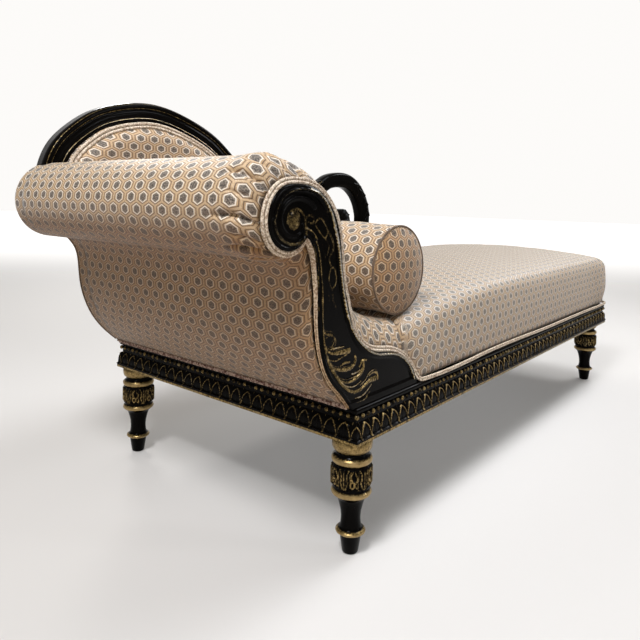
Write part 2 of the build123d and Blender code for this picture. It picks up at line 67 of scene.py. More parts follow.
def on_circle(centre, radius, degrees):
    angle = math.radians(degrees)
    return centre[0] + radius * math.cos(angle), centre[1] + radius * math.sin(angle)


def upright(line, y):
    """3-D points at depth y from plane points in X and Z."""
    return np.stack([line[:, 0], np.full(len(line), y), line[:, 1]], 1)


def from_rail(*points):
    """Points given from the top corner of the head rail."""
    return [(HEAD_X + x, RAIL_TOP + z) for x, z in points]


def evenly(points, count):
    """The same polyline with evenly spaced points."""
    points = np.asarray(points, float)
    arc = travelled(points)
    at = np.linspace(0, arc[-1], count)
    return np.stack([np.interp(at, arc, points[:, k]) for k in range(points.shape[1])], 1)


def smooth(points, count):
    """A natural cubic spline through the points, evenly sampled."""
    p = np.asarray(points, float)
    n = len(p)
    t = travelled(p)
    h = np.diff(t)
    a, b = np.eye(n), np.zeros_like(p)
    for i in range(1, n - 1):
        a[i, i - 1:i + 2] = h[i - 1], 2 * (h[i - 1] + h[i]), h[i]
        b[i] = 6 * ((p[i + 1] - p[i]) / h[i] - (p[i] - p[i - 1]) / h[i - 1])
    m = np.linalg.solve(a, b)
    s = np.linspace(0, t[-1], max(count * 4, 60))
    i = np.clip(np.searchsorted(t, s) - 1, 0, n - 2)
    u, v, w = (t[i + 1] - s)[:, None], (s - t[i])[:, None], h[i][:, None]
    fine = (m[i] * u**3 + m[i + 1] * v**3) / (6 * w)
    fine += (p[i] / w - m[i] * w / 6) * u + (p[i + 1] / w - m[i + 1] * w / 6) * v
    return evenly(fine, count)


def normals_right(path):
    """Unit normals to the right of a plane path's direction of travel."""
    along = np.gradient(path, axis=0)
    along /= lengths(along)[:, None]
    return np.stack([along[:, 1], -along[:, 0]], 1)


def edge_distance(points, polygon):
    """Distance from each point to a closed polygon's edge."""
    a, b = polygon, np.roll(polygon, -1, 0)
    best = np.full(len(points), 1e9)
    for start in range(0, len(a), 64):
        q, d = a[start:start + 64], (b - a)[start:start + 64]
        t = np.einsum("nkj,kj->nk", points[:, None] - q[None], d) / np.maximum((d**2).sum(1), 1e-9)
        near = q[None] + np.clip(t, 0, 1)[..., None] * d[None]
        best = np.minimum(best, lengths(points[:, None] - near).min(1))
    return best


def ease(x, low, high):
    """0 below low, 1 above high, and smooth between."""
    t = np.clip((x - low) / (high - low), 0, 1)
    return t * t * (3 - 2 * t)


def carve(points, strokes):
    """Height and gilding of raised strokes: (path, widths along it, height, gilt, flatness)."""
    height, gilt = np.zeros(len(points)), np.zeros(len(points))
    for path, widths, rise, gold, *power in strokes:
        line = smooth(path, 26) if len(path) > 2 else evenly(path, 6)
        low, high = line.min(0) - max(widths), line.max(0) + max(widths)
        close = np.where(((points > low) & (points < high)).all(1))[0]
        if not len(close):
            continue
        p = points[close]
        a, d = line[:-1], np.diff(line, axis=0)
        t = np.clip(np.einsum("nkj,kj->nk", p[:, None] - a[None], d) / (d**2).sum(1), 0, 1)
        away = lengths(p[:, None] - a[None] - t[..., None] * d[None])
        k = away.argmin(1)
        rows = np.arange(len(p))
        share = (k + t[rows, k]) / len(a)
        width = np.interp(share, np.linspace(0, 1, len(widths)), widths)
        q = np.clip(1 - (away[rows, k] / width) ** (power[0] if power else 2), 0, 1)
        height[close] = np.maximum(height[close], rise * np.sqrt(q))
        gilt[close] = np.maximum(gilt[close], gold * ease(q, 0.05, 0.5))
    return height, gilt


# ---- materials
class Graph:
    """A short way to write shader nodes."""

    def __init__(self, name):
        self.material = bpy.data.materials.new(name)
        self.material.use_nodes = True
        self.tree = self.material.node_tree
        self.shader = self.tree.nodes["Principled BSDF"]

    def put(self, socket, value):
        if isinstance(value, bpy.types.NodeSocket):
            self.tree.links.new(value, socket)
        else:
            socket.default_value = value

    def node(self, kind, inputs=(), out=0, **settings):
        n = self.tree.nodes.new("ShaderNode" + kind)
        for key, value in settings.items():
            setattr(n, key, value)
        for key, value in dict(inputs).items():
            self.put(n.inputs[key], value)
        return n.outputs[out]

    def math(self, operation, a, b=0.0, c=0.0):
        return self.node("Math", {0: a, 1: b, 2: c}, operation=operation)

    def mix(self, share, a, b):
        return self.node("Mix", {0: share, 6: a, 7: b}, out=2, data_type="RGBA")

    def times(self, a, b):
        return self.math("MULTIPLY", a, b)

    def plus(self, a, b):
        return self.math("ADD", a, b)

    def minus(self, a, b):
        return self.math("SUBTRACT", a, b)

    def size(self, a):
        return self.math("ABSOLUTE", a)

    def step(self, value, low, high, to_low=0.0, to_high=1.0):
        return self.node("MapRange", {0: value, 1: low, 2: high, 3: to_low, 4: to_high},
                         interpolation_type="SMOOTHSTEP")

    def noise(self, scale, detail, where, rough=0.5):
        inputs = {"Scale": scale, "Detail": detail, "Roughness": rough, "Vector": where}
        return self.node("TexNoise", inputs)

    def here(self):
        return self.node("TexCoord", out="Object")

    def along(self, direction):
        """How far each place on the object lies along a direction."""
        return self.node("VectorMath", {0: self.here(), 1: direction}, "Value", operation="DOT_PRODUCT")

    def attribute(self, name, out="Fac"):
        return self.node("Attribute", out=out, attribute_name=name)

    def split(self, vector):
        """The X, Y and Z sockets of a vector."""
        n = self.tree.nodes.new("ShaderNodeSeparateXYZ")
        self.put(n.inputs[0], vector)
        return n.outputs

    def toned(self, base, shade):
        """Painted shade: multiplies by the shade colour as far as the mesh's per-point shade attribute
        says.
        """
        return self.node("Mix", {0: self.attribute("tone"), 6: base, 7: colour(*shade)}, out=2,
                         data_type="RGBA", blend_type="MULTIPLY")

    def bump(self, height, strength, distance):
        return self.node("Bump", {"Height": height, "Strength": strength, "Distance": distance})

    def finish(self, **inputs):
        for key, value in inputs.items():
            self.put(self.shader.inputs[key.replace("_", " ")], value)
        return self.material


def colour(r, g, b):
    return (r, g, b, 1.0)


def fabric(name, tint=1.0, shade=(0.66, 0.475, 0.27), lift=0.0, gloss=0.45):
    """Hexagon lattice: cream-outlined upright hexagons with speckled middles on tan."""
    # the cloth's dye colours times tint; a tint below 1 is painted shade
    def dyed_and_shaded(*parts):
        return colour(*(part * tint for part in parts))

    def lifted(red, green, blue):
        return colour(red + lift, green + lift, blue + 0.8 * lift)

    g = Graph(name)
    wide, tall = 20.0, 24.0  # half of the pattern's repeat, in mm of cloth
    spot = g.attribute("weave", "Vector")
    parts = g.split(spot)
    shift = g.math("MULTIPLY_ADD", g.noise(180.0, 2.0, spot), 0.9, -0.45)
    u, v = (g.math("MULTIPLY_ADD", parts[k], 1000.0, shift) for k in (0, 1))
    cells, rings = [], []
    for du, dv in ((0.0, 0.0), (wide, tall)):
        x = g.size(g.math("WRAP", g.plus(u, du), wide, -wide))
        y = g.size(g.math("WRAP", g.plus(v, dv), tall, -tall))
        for sizes, across, slant_x, slant_y in ((cells, 1 / wide, 0.0265, 0.0613),
                                                (rings, 1 / 12, 0.044, 0.084)):
            slant = g.plus(g.times(x, slant_x), g.times(y, slant_y))
            sizes.append(g.math("MAXIMUM", g.times(x, across), slant))
    cell, ring = (g.math("MINIMUM", *sizes) for sizes in (cells, rings))
    thread = g.noise(750.0, 2.0, spot, 0.7)
    fleck = g.noise(330.0, 3.0, spot, 0.75)
    # tan ground with a brown line half-way between the hexagons
    tan = g.mix(g.noise(9.0, 3.0, spot), dyed_and_shaded(0.42, 0.265, 0.125), dyed_and_shaded(0.52, 0.355, 0.20))
    tan = g.mix(g.step(fleck, 0.50, 0.75), tan, dyed_and_shaded(0.72, 0.59, 0.43))
    tan = g.mix(g.step(fleck, 0.45, 0.25), tan, dyed_and_shaded(0.24, 0.125, 0.055))
    line = g.step(g.size(g.minus(cell, 0.795)), 0.075, 0.035)
    ground = g.mix(g.times(line, 0.9), tan, dyed_and_shaded(0.115, 0.066, 0.036))
    ground = g.mix(g.times(g.step(cell, 0.93, 0.99), 0.45), ground, dyed_and_shaded(0.62, 0.47, 0.31))
    # speckled middles inside a cream outline
    speckle = g.step(fleck, 0.40, 0.66)
    middle = g.mix(speckle, lifted(0.040, 0.029, 0.022), lifted(0.27, 0.22, 0.17))
    pale = g.mix(speckle, lifted(0.10, 0.075, 0.055), lifted(0.36, 0.30, 0.23))
    inside = g.mix(g.step(ring, 0.50, 0.72), middle, pale)
    inside = g.mix(g.step(ring, 0.97, 1.02), inside, ground)
    cream = g.mix(thread, dyed_and_shaded(0.54, 0.45, 0.35), dyed_and_shaded(0.90, 0.82, 0.71))
    rim = g.step(g.size(g.minus(ring, 0.90)), 0.125, 0.07)
    base = g.mix(rim, inside, cream)
    base = g.mix(g.times(g.step(thread, 0.35, 0.2), 0.35), base, colour(0.10, 0.07, 0.045))
    # painted shade: a warm brown darkening on what faces down
    painted_shade_below = g.step(g.split(g.node("NewGeometry", out="Normal"))[2], 0.35, -0.55)
    painted_shade_colour = g.mix(rim, colour(0.13, 0.055, 0.016), colour(0.34, 0.20, 0.10))
    base = g.toned(g.mix(g.times(painted_shade_below, 0.42), base, painted_shade_colour), shade)
    weave = g.times(g.math("SINE", g.times(u, 5.2)), g.math("SINE", g.times(v, 5.2)))
    raised = g.plus(g.plus(g.times(weave, 0.3), g.times(rim, 0.9)), g.times(fleck, 0.9))
    raised = g.minus(raised, g.times(line, 0.5))
    return g.finish(Base_Color=base, Roughness=g.math("MULTIPLY_ADD", thread, 0.2, 0.42),
                    Normal=g.bump(raised, 0.5, 0.0005), Sheen_Weight=0.22, Sheen_Roughness=0.35,
                    Sheen_Tint=colour(0.95, 0.98, 1.0), Specular_IOR_Level=gloss)


def ebony(name, gilded=True):
    """Ebonised, polished wood with gilding where the mesh's gilt attribute says.

    Gilt below 0.6 is nearly worn off, 0.7 to 0.9 patchy, 0.9 to 1 smooth, and above 1.02 a silvery
    painted highlight.
    """
    g = Graph(name)
    here = g.here()
    patch = g.noise(14.0, 4.0, here)
    fine = g.noise(240.0, 3.0, here, 0.65)
    blotch = g.noise(95.0, 3.0, here, 0.6)
    dark = g.mix(patch, colour(0.0008, 0.0007, 0.0006), colour(0.0032, 0.0025, 0.002))
    rough = g.math("MULTIPLY_ADD", patch, 0.18, 0.07)
    if not gilded:
        return g.finish(Base_Color=dark, Roughness=rough, Normal=g.bump(fine, 0.08, 0.0004),
                        Specular_IOR_Level=0.035)
    mask = g.attribute("gilt")
    wear = g.plus(g.times(blotch, 0.6), g.times(fine, 0.5))
    worn = g.step(g.plus(mask, g.math("MULTIPLY_ADD", wear, 0.9, -0.75)), 0.25, 0.75)
    gold = g.mix(g.step(fine, 0.3, 0.7), colour(0.095, 0.062, 0.022), colour(0.40, 0.275, 0.105))
    gold = g.mix(g.times(g.step(patch, 0.5, 0.7), 0.5), gold, colour(0.30, 0.25, 0.15))
    rubbed = g.mix(blotch, colour(0.22, 0.14, 0.05), colour(0.52, 0.38, 0.18))
    gold = g.mix(g.step(mask, 0.90, 0.98), gold, rubbed)
    # painted highlight: pale silver-grey where the gilt goes above 1.02
    painted_highlight = g.mix(g.step(fine, 0.35, 0.65), colour(0.14, 0.125, 0.095), colour(0.52, 0.49, 0.44))
    gold = g.mix(g.step(mask, 1.02, 1.15), gold, painted_highlight)
    rough = g.plus(rough, g.times(worn, 0.18))
    return g.finish(Base_Color=g.mix(worn, dark, gold), Roughness=rough,
                    Metallic=g.times(worn, 0.85),
                    Normal=g.bump(g.plus(fine, g.times(worn, 0.4)), 0.10, 0.0006),
                    Specular_IOR_Level=0.035)


def plain(name, one, two, scale, rough, bump=0.2):
    """A rough, mottled material for timber, jute and dust cloth."""
    g = Graph(name)
    here = g.here()
    grain = g.noise(scale, 4.0, here, 0.6)
    return g.finish(Base_Color=g.mix(grain, colour(*one), colour(*two)), Roughness=rough,
                    Normal=g.bump(g.noise(scale * 9, 2.0, here), bump, 0.0006))


def speckled(name, dark, light, scale, low, high):
    """Piping cut from the patterned cloth, or a twisted cord: sharp dark and light flecks."""
    g = Graph(name)
    fleck = g.step(g.noise(scale, 2.0, g.here(), 0.7), low, high)
    base = g.mix(fleck, colour(*dark), colour(*light))
    # painted shade where the mesh's per-point shade attribute asks for it
    return g.finish(Base_Color=g.toned(base, (0.69, 0.50, 0.29)), Roughness=0.75,
                    Specular_IOR_Level=0.3, Normal=g.bump(fleck, 0.5, 0.0006))


HEX = fabric("hexagon_cloth")
# a darker copy of the cloth for the back's outside: painted shade
HEX_SHADE = fabric("hexagon_cloth_outside_painted_shade", 0.86)
# the seat's cloth, with a grey shade colour for the painted shade on its top
HEX_SEAT = fabric("hexagon_cloth_seat", 1.02, (0.78, 0.80, 0.83), 0.03, 0.8)
CARVED = ebony("ebonised_carving")
EBONY = ebony("ebonised_plain", False)
TIMBER = plain("sawn_timber", (0.36, 0.24, 0.13), (0.58, 0.42, 0.26), 25.0, 0.8)
JUTE = plain("jute_cloth", (0.30, 0.22, 0.13), (0.48, 0.38, 0.24), 160.0, 0.95, 0.5)
DUST = plain("dust_cloth", (0.012, 0.012, 0.013), (0.03, 0.03, 0.032), 200.0, 0.95, 0.5)
WELT = speckled("cream_welt", (0.27, 0.18, 0.115), (0.70, 0.60, 0.48), 260.0, 0.36, 0.62)
CORD_PALE = speckled("rose_cord", (0.09, 0.036, 0.024), (0.43, 0.30, 0.225), 210.0, 0.44, 0.58)
CORD = plain("brown_cord", (0.045, 0.024, 0.014), (0.20, 0.13, 0.08), 300.0, 0.7, 0.5)


# ---- mesh helpers
def attribute(mesh, key, values):
    """Gives each point of a mesh a number or a vector for the materials."""
    values = np.asarray(values, np.float32)
    kind, field = ("FLOAT", "value") if values.ndim == 1 else ("FLOAT_VECTOR", "vector")
    mesh.attributes.new(key, kind, "POINT").data.foreach_set(field, values.ravel())


def build(name, points, faces, material, replaces=(), body="frame", **attributes):
    """A smooth mesh object from points in millimetres, riding on a body."""
    mesh = bpy.data.meshes.new(name)
    mesh.from_pydata((np.asarray(points, float) * MM).tolist(), [], [list(f) for f in faces])
    for key, values in attributes.items():
        attribute(mesh, key, values)
    bm = bmesh.new()
    bm.from_mesh(mesh)
    bmesh.ops.recalc_face_normals(bm, faces=bm.faces)
    bm.to_mesh(mesh)
    bm.free()
    mesh.polygons.foreach_set("use_smooth", [True] * len(mesh.polygons))
    mesh.materials.append(material)
    thing = bpy.data.objects.new(name, mesh)
    bpy.context.scene.collection.objects.link(thing)
    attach(thing, body)
    if replaces:
        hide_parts(*replaces)
    return thing


def grid(rows, columns, close_rows=False, close_columns=False):
    """Quads between rows of points, each row of the same length."""
    r = np.arange(rows if close_rows else rows - 1)
    c = np.arange(columns if close_columns else columns - 1)
    i, j = (k.ravel() for k in np.meshgrid(r, c, indexing="ij"))
    i2, j2 = (i + 1) % rows, (j + 1) % columns
    return np.stack([i * columns + j, i * columns + j2, i2 * columns + j2, i2 * columns + j], 1).tolist()


def caps(points, ring):
    """Faces that close the first and the last ring of a sweep."""
    return [list(range(ring)), list(range(len(points) - ring, len(points)))]


TUBE_SIDES = 8


def tube_mesh(path, radius, closed):
    """Points and faces of a round tube along a 3-D path; radius is one number or one a point."""
    path = np.asarray(path, float)
    along = np.roll(path, -1, 0) - np.roll(path, 1, 0) if closed else np.gradient(path, axis=0)
    along /= lengths(along)[:, None]
    side = np.cross(along[0], (0.31, 0.17, 0.93))
    rings = []
    for p, t, reach in zip(path, along, np.broadcast_to(radius, len(path))):
        side = side - t * (side @ t)
        side /= np.linalg.norm(side)
        up = np.cross(t, side)
        turn = full_turn(TUBE_SIDES)[:, None]
        rings.append(p + reach * (np.cos(turn) * side + np.sin(turn) * up))
    points = np.concatenate(rings)
    faces = grid(len(path), TUBE_SIDES, closed, True)
    if not closed:
        faces += caps(points, TUBE_SIDES)
    return points, faces


def join(meshes):
    """Several (points, faces) pairs as one."""
    points, faces, count = [], [], 0
    for p, f in meshes:
        points.append(p)
        faces += [[i + count for i in face] for face in f]
        count += len(p)
    return np.concatenate(points), faces


def tubes(name, paths, radius, material, closed=False, **more):
    points, faces = join([tube_mesh(p, radius, closed) for p in paths])
    build(name, points, faces, material, **more)


def relief(name, outline, front, rear, height, material, pitch, **more):
    """A carved board between two depths, its face raised towards -Y.

    outline is in X and Z, pitch is the mesh's spacing, and height(points, distance to the edge)
    gives each point's rise and the mesh's attributes.
    """
    outline = evenly(np.vstack([outline, outline[:1]]), int(travelled(outline)[-1] / pitch))[:-1]
    low, high = outline.min(0), outline.max(0)
    gx, gz = np.meshgrid(np.arange(low[0], high[0], pitch), np.arange(low[1], high[1], pitch))
    gx[::2] += pitch / 2
    inner = np.stack([gx.ravel(), gz.ravel()], 1)
    inner = inner[edge_distance(inner, outline) > pitch * 0.6]
    every = np.vstack([outline, inner])
    n = len(outline)
    border = [(i, (i + 1) % n) for i in range(n)]
    verts, _, faces, *_ = delaunay_2d_cdt([Vector(p) for p in every], border, [], 1, 1e-4)
    flat = np.array([tuple(v) for v in verts])
    rise, attributes = height(flat, edge_distance(flat, outline))
    face = np.stack([flat[:, 0], front - rise, flat[:, 1]], 1)
    rim = np.array([int(np.abs(flat - p).sum(1).argmin()) for p in outline])
    back = np.stack([outline[:, 0], np.full(n, rear), outline[:, 1]], 1)
    faces = [list(f) for f in faces]
    m = len(face)
    faces += [[int(rim[i]), int(rim[j]), m + j, m + i] for i, j in border]
    faces.append([m + i for i in range(n)])
    for key, values in attributes.items():
        attributes[key] = np.concatenate([values, values[rim]])
    return build(name, np.vstack([face, back]), faces, material, **attributes, **more)


def read(mesh, key):
    """A vector of each vertex, such as its place or its normal."""
    values = np.zeros(len(mesh.vertices) * 3, np.float32)
    mesh.vertices.foreach_get(key, values)
    return values.reshape(-1, 3)


def coordinates(mesh):
    return read(mesh, "co").astype(float)


def remeshed(node, voxel, shrink, rounds):
    """A slightly smaller, evenly meshed copy of a soft solid, in millimetres."""
    thing = bpy.data.objects.new(node + "_start", cad[node].data.copy())
    bpy.context.scene.collection.objects.link(thing)
    tool = thing.modifiers.new("even", "REMESH")
    tool.mode, tool.voxel_size = "VOXEL", voxel * MM
    relax = thing.modifiers.new("relax", "SMOOTH")
    relax.iterations, relax.factor = rounds, 0.5
    view = bpy.context.evaluated_depsgraph_get()
    done = bpy.data.meshes.new_from_object(thing.evaluated_get(view))
    points = coordinates(done) / MM - shrink * read(done, "normal")
    faces = [list(p.vertices) for p in done.polygons]
    bpy.data.objects.remove(thing)
    return points, faces


def plump(thing, cap):
    """Inflates a closed padded mesh by cloth simulation and keeps each move under cap."""
    pressure, frames = 4.0, 20
    start = coordinates(thing.data)
    cloth = thing.modifiers.new("stuffing", "CLOTH")
    cloth.settings.use_pressure = True
    cloth.settings.uniform_pressure_force = pressure
    cloth.settings.effector_weights.gravity = 0
    cloth.collision_settings.use_collision = False
    for number in range(1, frames + 1):
        bpy.context.scene.frame_set(number)
    view = bpy.context.evaluated_depsgraph_get()
    moved = coordinates(thing.evaluated_get(view).data) - start
    thing.modifiers.remove(cloth)
    bpy.context.scene.frame_set(1)
    far = lengths(moved)
    moved *= np.minimum(1, cap * MM / np.maximum(far, 1e-9))[:, None]
    thing.data.vertices.foreach_set("co", (start + moved).astype(np.float32).ravel())
    thing.data.update()


# ---- camera, lights, floor
def studio():
    """The camera fitted to the photograph, a plain world, six soft lights and a pale floor."""
    scene = bpy.context.scene
    picture, place = 640, (-1.5555, -1.0212, 0.6693)
    az, pitch, roll, focal, centre_y = 0.6926, 0.0413, 0.0201, 614.5427, 222.6446
    f = Vector((math.cos(az) * math.cos(pitch), math.sin(az) * math.cos(pitch), -math.sin(pitch)))
    r0 = f.cross(Vector((0, 0, 1))).normalized()
    u0 = r0.cross(f)
    r = math.cos(roll) * r0 + math.sin(roll) * u0
    u = -math.sin(roll) * r0 + math.cos(roll) * u0
    data = bpy.data.cameras.new("photo_camera")
    data.sensor_width, data.lens = 36.0, 36.0 * focal / picture
    data.shift_y = (centre_y - picture / 2) / picture
    data.clip_start, data.clip_end = 0.05, 50
    camera = bpy.data.objects.new("photo_camera", data)
    camera.matrix_world = Matrix([(r[k], u[k], -f[k], place[k]) for k in range(3)] + [(0, 0, 0, 1)])
    scene.collection.objects.link(camera)
    scene.camera = camera
    scene.view_settings.view_transform = "Standard"
    world = bpy.data.worlds.new("studio")
    scene.world = world
    world.use_nodes = True
    tree = world.node_tree
    where = tree.nodes.new("ShaderNodeTexCoord")
    toward = tree.nodes.new("ShaderNodeVectorMath")
    toward.operation = "DOT_PRODUCT"
    away, right = (math.cos(az), math.sin(az), 0), (-math.sin(az), math.cos(az), 0)
    toward.inputs[1].default_value = away
    tree.links.new(where.outputs["Generated"], toward.inputs[0])
    ramp = tree.nodes.new("ShaderNodeMapRange")
    ramp.interpolation_type = "SMOOTHSTEP"
    for number, value in ((1, 0.45), (2, 0.80), (3, 0.26), (4, 0.98)):
        ramp.inputs[number].default_value = value
    tree.links.new(toward.outputs["Value"], ramp.inputs[0])
    tree.links.new(ramp.outputs[0], tree.nodes["Background"].inputs[1])
    tree.nodes["Background"].inputs[0].default_value = (1.0, 0.985, 0.965, 1)
    for name, place, aim, size, power, tint in (
            ("overhead_softbox", (0.7, -0.8, 3.1), (0.2, 0.0, 0.4), 1.3, 44, (0.93, 0.98, 1.06)),
            ("foot_softbox", (2.3, -0.5, 2.3), (0.1, -0.3, 0.43), 0.9, 35, (0.97, 0.99, 1.03)),
            ("head_softbox", (-2.3, -0.7, 2.9), (-0.8, 0.0, 0.6), 0.7, 101, (0.96, 0.98, 1.02)),
            ("window_light", (1.4, -3.4, 1.5), (0.3, 0.0, 0.4), 0.4, 17, (0.97, 1.0, 1.05)),
            ("low_fill", (-2.6, -2.6, 0.9), (-0.6, 0.0, 0.5), 0.3, 5, (1.0, 0.86, 0.70)),
            ("rear_light", (0.6, 2.8, 2.4), (0, 0, 0.5), 0.6, 30, (1.0, 1.0, 1.0))):
        light = bpy.data.lights.new(name, "AREA")
        light.size, light.energy, light.color = size, power, tint
        lamp = bpy.data.objects.new(name, light)
        lamp.location = place
        lamp.rotation_euler = (Vector(aim) - Vector(place)).to_track_quat("-Z", "Y").to_euler()
        scene.collection.objects.link(lamp)
    mesh = bpy.data.meshes.new("floor")
    mesh.from_pydata([(-20, -20, 0), (20, -20, 0), (20, 20, 0), (-20, 20, 0)], [], [(0, 1, 2, 3)])
    # the floor glows in the far part of the picture, and a little under the object as painted light that
    # lifts its shadow
    g = Graph("studio_floor")
    behind = g.along(away)
    beside = g.size(g.minus(g.along(right), 0.207))
    outside = g.minus(beside, g.math("MULTIPLY_ADD", behind, 0.62, 1.15))
    glow = g.times(g.step(behind, 0.5, 6.5, 0.0, 0.95), g.step(outside, 0.8, -0.2))
    painted_light_under = g.node("VectorMath", {0: g.here(), 1: (0.9, 1.7, 0)}, operation="MULTIPLY")
    painted_light_under = g.node("VectorMath", {0: painted_light_under}, "Value", operation="LENGTH")
    glow = g.plus(glow, g.step(painted_light_under, 1.3, 0.3, 0.0, 0.16))
    mesh.materials.append(g.finish(Base_Color=colour(0.60, 0.575, 0.545), Roughness=0.9,
                                   Specular_IOR_Level=0.1, Emission_Color=colour(1, 0.99, 0.98),
                                   Emission_Strength=glow))
    floor = bpy.data.objects.new("floor", mesh)
    scene.collection.objects.link(floor)


studio()

# ---- CAD nodes that stay
STAYING = ((TIMBER, """corner_block_head_front corner_block_head_back corner_block_foot_front
                       corner_block_foot_back cross_rail_1 cross_rail_2 cross_rail_3 front_cleat
                       back_cleat head_cleat foot_cleat head_front_board head_back_board
                       head_roll_core"""),
           (JUTE, "seat_webbing seat_hessian back_hessian"),
           (DUST, "dust_cover"),
           (EBONY, "front_rail back_rail head_rail foot_rail back_end_post"))
for material, nodes in STAYING:
    for node in nodes.split():
        cad[node].data.materials.clear()
        cad[node].data.materials.append(material)

# ---- carved rails
# the rail's section: height over its underside, and how far its face stands back
PROFILE_Z = [0, 9, 11, 20, 28, 34, 39, 46, 48, 50, 52, 54, 57, 58, 61, 63.5, 65.5, 66.2]
PROFILE_X = [0, 0, -3, -3.3, -4, -6.3, -10, -10, -7, -6, -7, -10, -10, -5, -5, -7, -11, -13.6]
LEAF_PITCH, LEAF_FOOT, LEAF_TALL, LEAF_TOP = 31.5, 8.5, 28.0, 40
BEAD_PITCH, BEAD_Z, BEAD_SIZE, BEAD_OUT = 17, 50.3, 4.9, 5.6


def frieze(s, z, pitch, painted_highlight_gilt):
    """Height and gilding of the leaf row, s along the rail and z up from its underside."""
    x = np.abs((s + pitch / 2) % pitch - pitch / 2)
    wide, up = pitch * 0.46, np.clip(z - LEAF_FOOT, 0, None)
    out = (x / wide) ** 1.55 + (up / LEAF_TALL) ** 2
    slope = np.hypot(1.55 * (x / wide) ** 0.55 / wide, 2 * up / LEAF_TALL**2)
    away = np.abs(out - 1) / np.maximum(slope, 1e-2)
    away = np.where((z > LEAF_FOOT) & (z < LEAF_TOP), away, 9.0)
    rim = np.clip(1 - (away / 1.8) ** 2, 0, 1)
    inside = (out < 1) & (z > LEAF_FOOT)
    belly = np.where(inside, 1.6 * np.clip(1 - out**2, 0, 1), 0)
    rib = np.where(inside, 0.9 * np.clip(1 - (x / 1.3) ** 2, 0, 1), 0)
    dart = np.clip(1 - ((pitch / 2 - x) / (0.6 + 2.4 * ease(z, 22, 38))) ** 2, 0, 1)
    dart = np.where((z > 22) & (z < LEAF_TOP), dart, 0)
    height = 3.4 * np.sqrt(rim) + belly + rib + 2.2 * dart - 1.2 * ease(z, 10, 12)
    # painted highlight: the rims' gilt grows towards their tops, more on the front, foot and back rails
    # than on the head rail
    gilt = np.maximum(ease(rim, 0, 0.6) * (0.70 + painted_highlight_gilt * ease(z, 12, 32)), 0.72 * dart * ease(z, 30, 38))
    gilt = np.maximum(gilt, 0.55 * rib)
    gilt = np.where(z < 5.2, 0.9, np.where(z < 7.5, 0.3, gilt))
    # the top edge gets gilt 1.2, a silvery painted highlight
    return height, np.where(z > 64.6, 1.2, gilt)


def bead(at, out):
    """Points and faces of one half-round bead, on a face that looks along out."""
    out = np.append(out, 0) / np.hypot(*out)
    side, up = np.array([-out[1], out[0], 0]), np.array([0, 0, 1.05])
    centre = np.array([*at, RAIL_LOW + BEAD_Z]) - out * 8.5
    turn = full_turn(TUBE_SIDES)[:, None]
    rings = [centre + BEAD_SIZE * math.cos(a) * (np.cos(turn) * side + np.sin(turn) * up)
             + out * BEAD_OUT * math.sin(a) for a in (0, 0.45, 0.9, 1.3)]
    tip = len(rings) * TUBE_SIDES
    last = tip - TUBE_SIDES
    faces = grid(len(rings), TUBE_SIDES, False, True)
    faces += [[last + i, last + (i + 1) % TUBE_SIDES, tip] for i in range(TUBE_SIDES)]
    return np.vstack(rings + [(centre + out * (BEAD_OUT + 0.1))[None]]), faces


def carved_rail(name, plan, mitres, painted_highlight_gilt=0.25):
    """The carved face of a rail, laid just over the solid rail; plan is X, Y, outward X, Y."""
    plan = np.asarray(plan, float)
    length = travelled(plan[:, :2])
    whole = length[-1]
    columns = int(whole / 1.6)
    s = np.linspace(0, whole, columns)
    x, y, out_x, out_y = (np.interp(s, length, plan[:, k]) for k in range(4))
    out_x, out_y = np.stack([out_x, out_y]) / np.hypot(out_x, out_y)
    z = np.concatenate([np.linspace(0, 39.6, 37), np.linspace(40.8, 66.2, 20)])
    ss, zz = np.meshgrid(s, z)
    rise, gilt = frieze(ss, zz, whole / max(1, round(whole / LEAF_PITCH)), painted_highlight_gilt)
    depth = np.interp(zz, PROFILE_Z, PROFILE_X) + 0.4 + rise
    x, y = x + out_x * depth, y + out_y * depth
    for gone, wanted, sign in ((ss, mitres[0], 1), (whole - ss, mitres[1], -1)):
        if wanted:
            move = np.clip(-depth - gone, 0, None) * sign
            x, y = x - out_y * move, y + out_x * move
    points = np.stack([x, y, zz + RAIL_LOW], 2).reshape(-1, 3)
    build(name, points, grid(len(z), columns), CARVED, gilt=gilt.ravel())
    beads, gilt = [], []
    number = round(whole / BEAD_PITCH)
    for k in range(number):
        place = [np.interp((k + 0.5) * whole / number, length, plan[:, c]) for c in range(4)]
        beads.append(bead(place[:2], place[2:]))
        bright = 0.74 + 0.13 * math.sin(k * 2.4) - 0.07 * (k % 3 == 1)
        gilt += [bright - 0.3] * TUBE_SIDES + [bright] * (3 * TUBE_SIDES + 1)
    points, faces = join(beads)
    build(name + "_beads", points, faces, CARVED, gilt=gilt)


ROUNDED_CORNER = 30.0
straight, inset = FOOT_X - ROUNDED_CORNER, HALF - ROUNDED_CORNER
foot_front = [(straight + ROUNDED_CORNER * math.sin(a), -inset - ROUNDED_CORNER * math.cos(a),
               math.sin(a), -math.cos(a)) for a in np.radians(np.linspace(0, 90, 15))]
foot_back = [(x, -y, nx, -ny) for x, y, nx, ny in reversed(foot_front)]
# the head rail, on the shaded end, gets less painted highlight than the others
carved_rail("head_rail_carving", [(HEAD_X, HALF, -1, 0), (HEAD_X, -HALF, -1, 0)], (True, True), 0.06)
carved_rail("front_rail_carving", [(HEAD_X, -HALF, 0, -1), (straight, -HALF, 0, -1)], (True, False))
carved_rail("foot_rail_carving", foot_front + foot_back, (False, False))
carved_rail("back_rail_carving", [(straight, HALF, 0, 1), (HEAD_X, HALF, 0, 1)], (False, True))

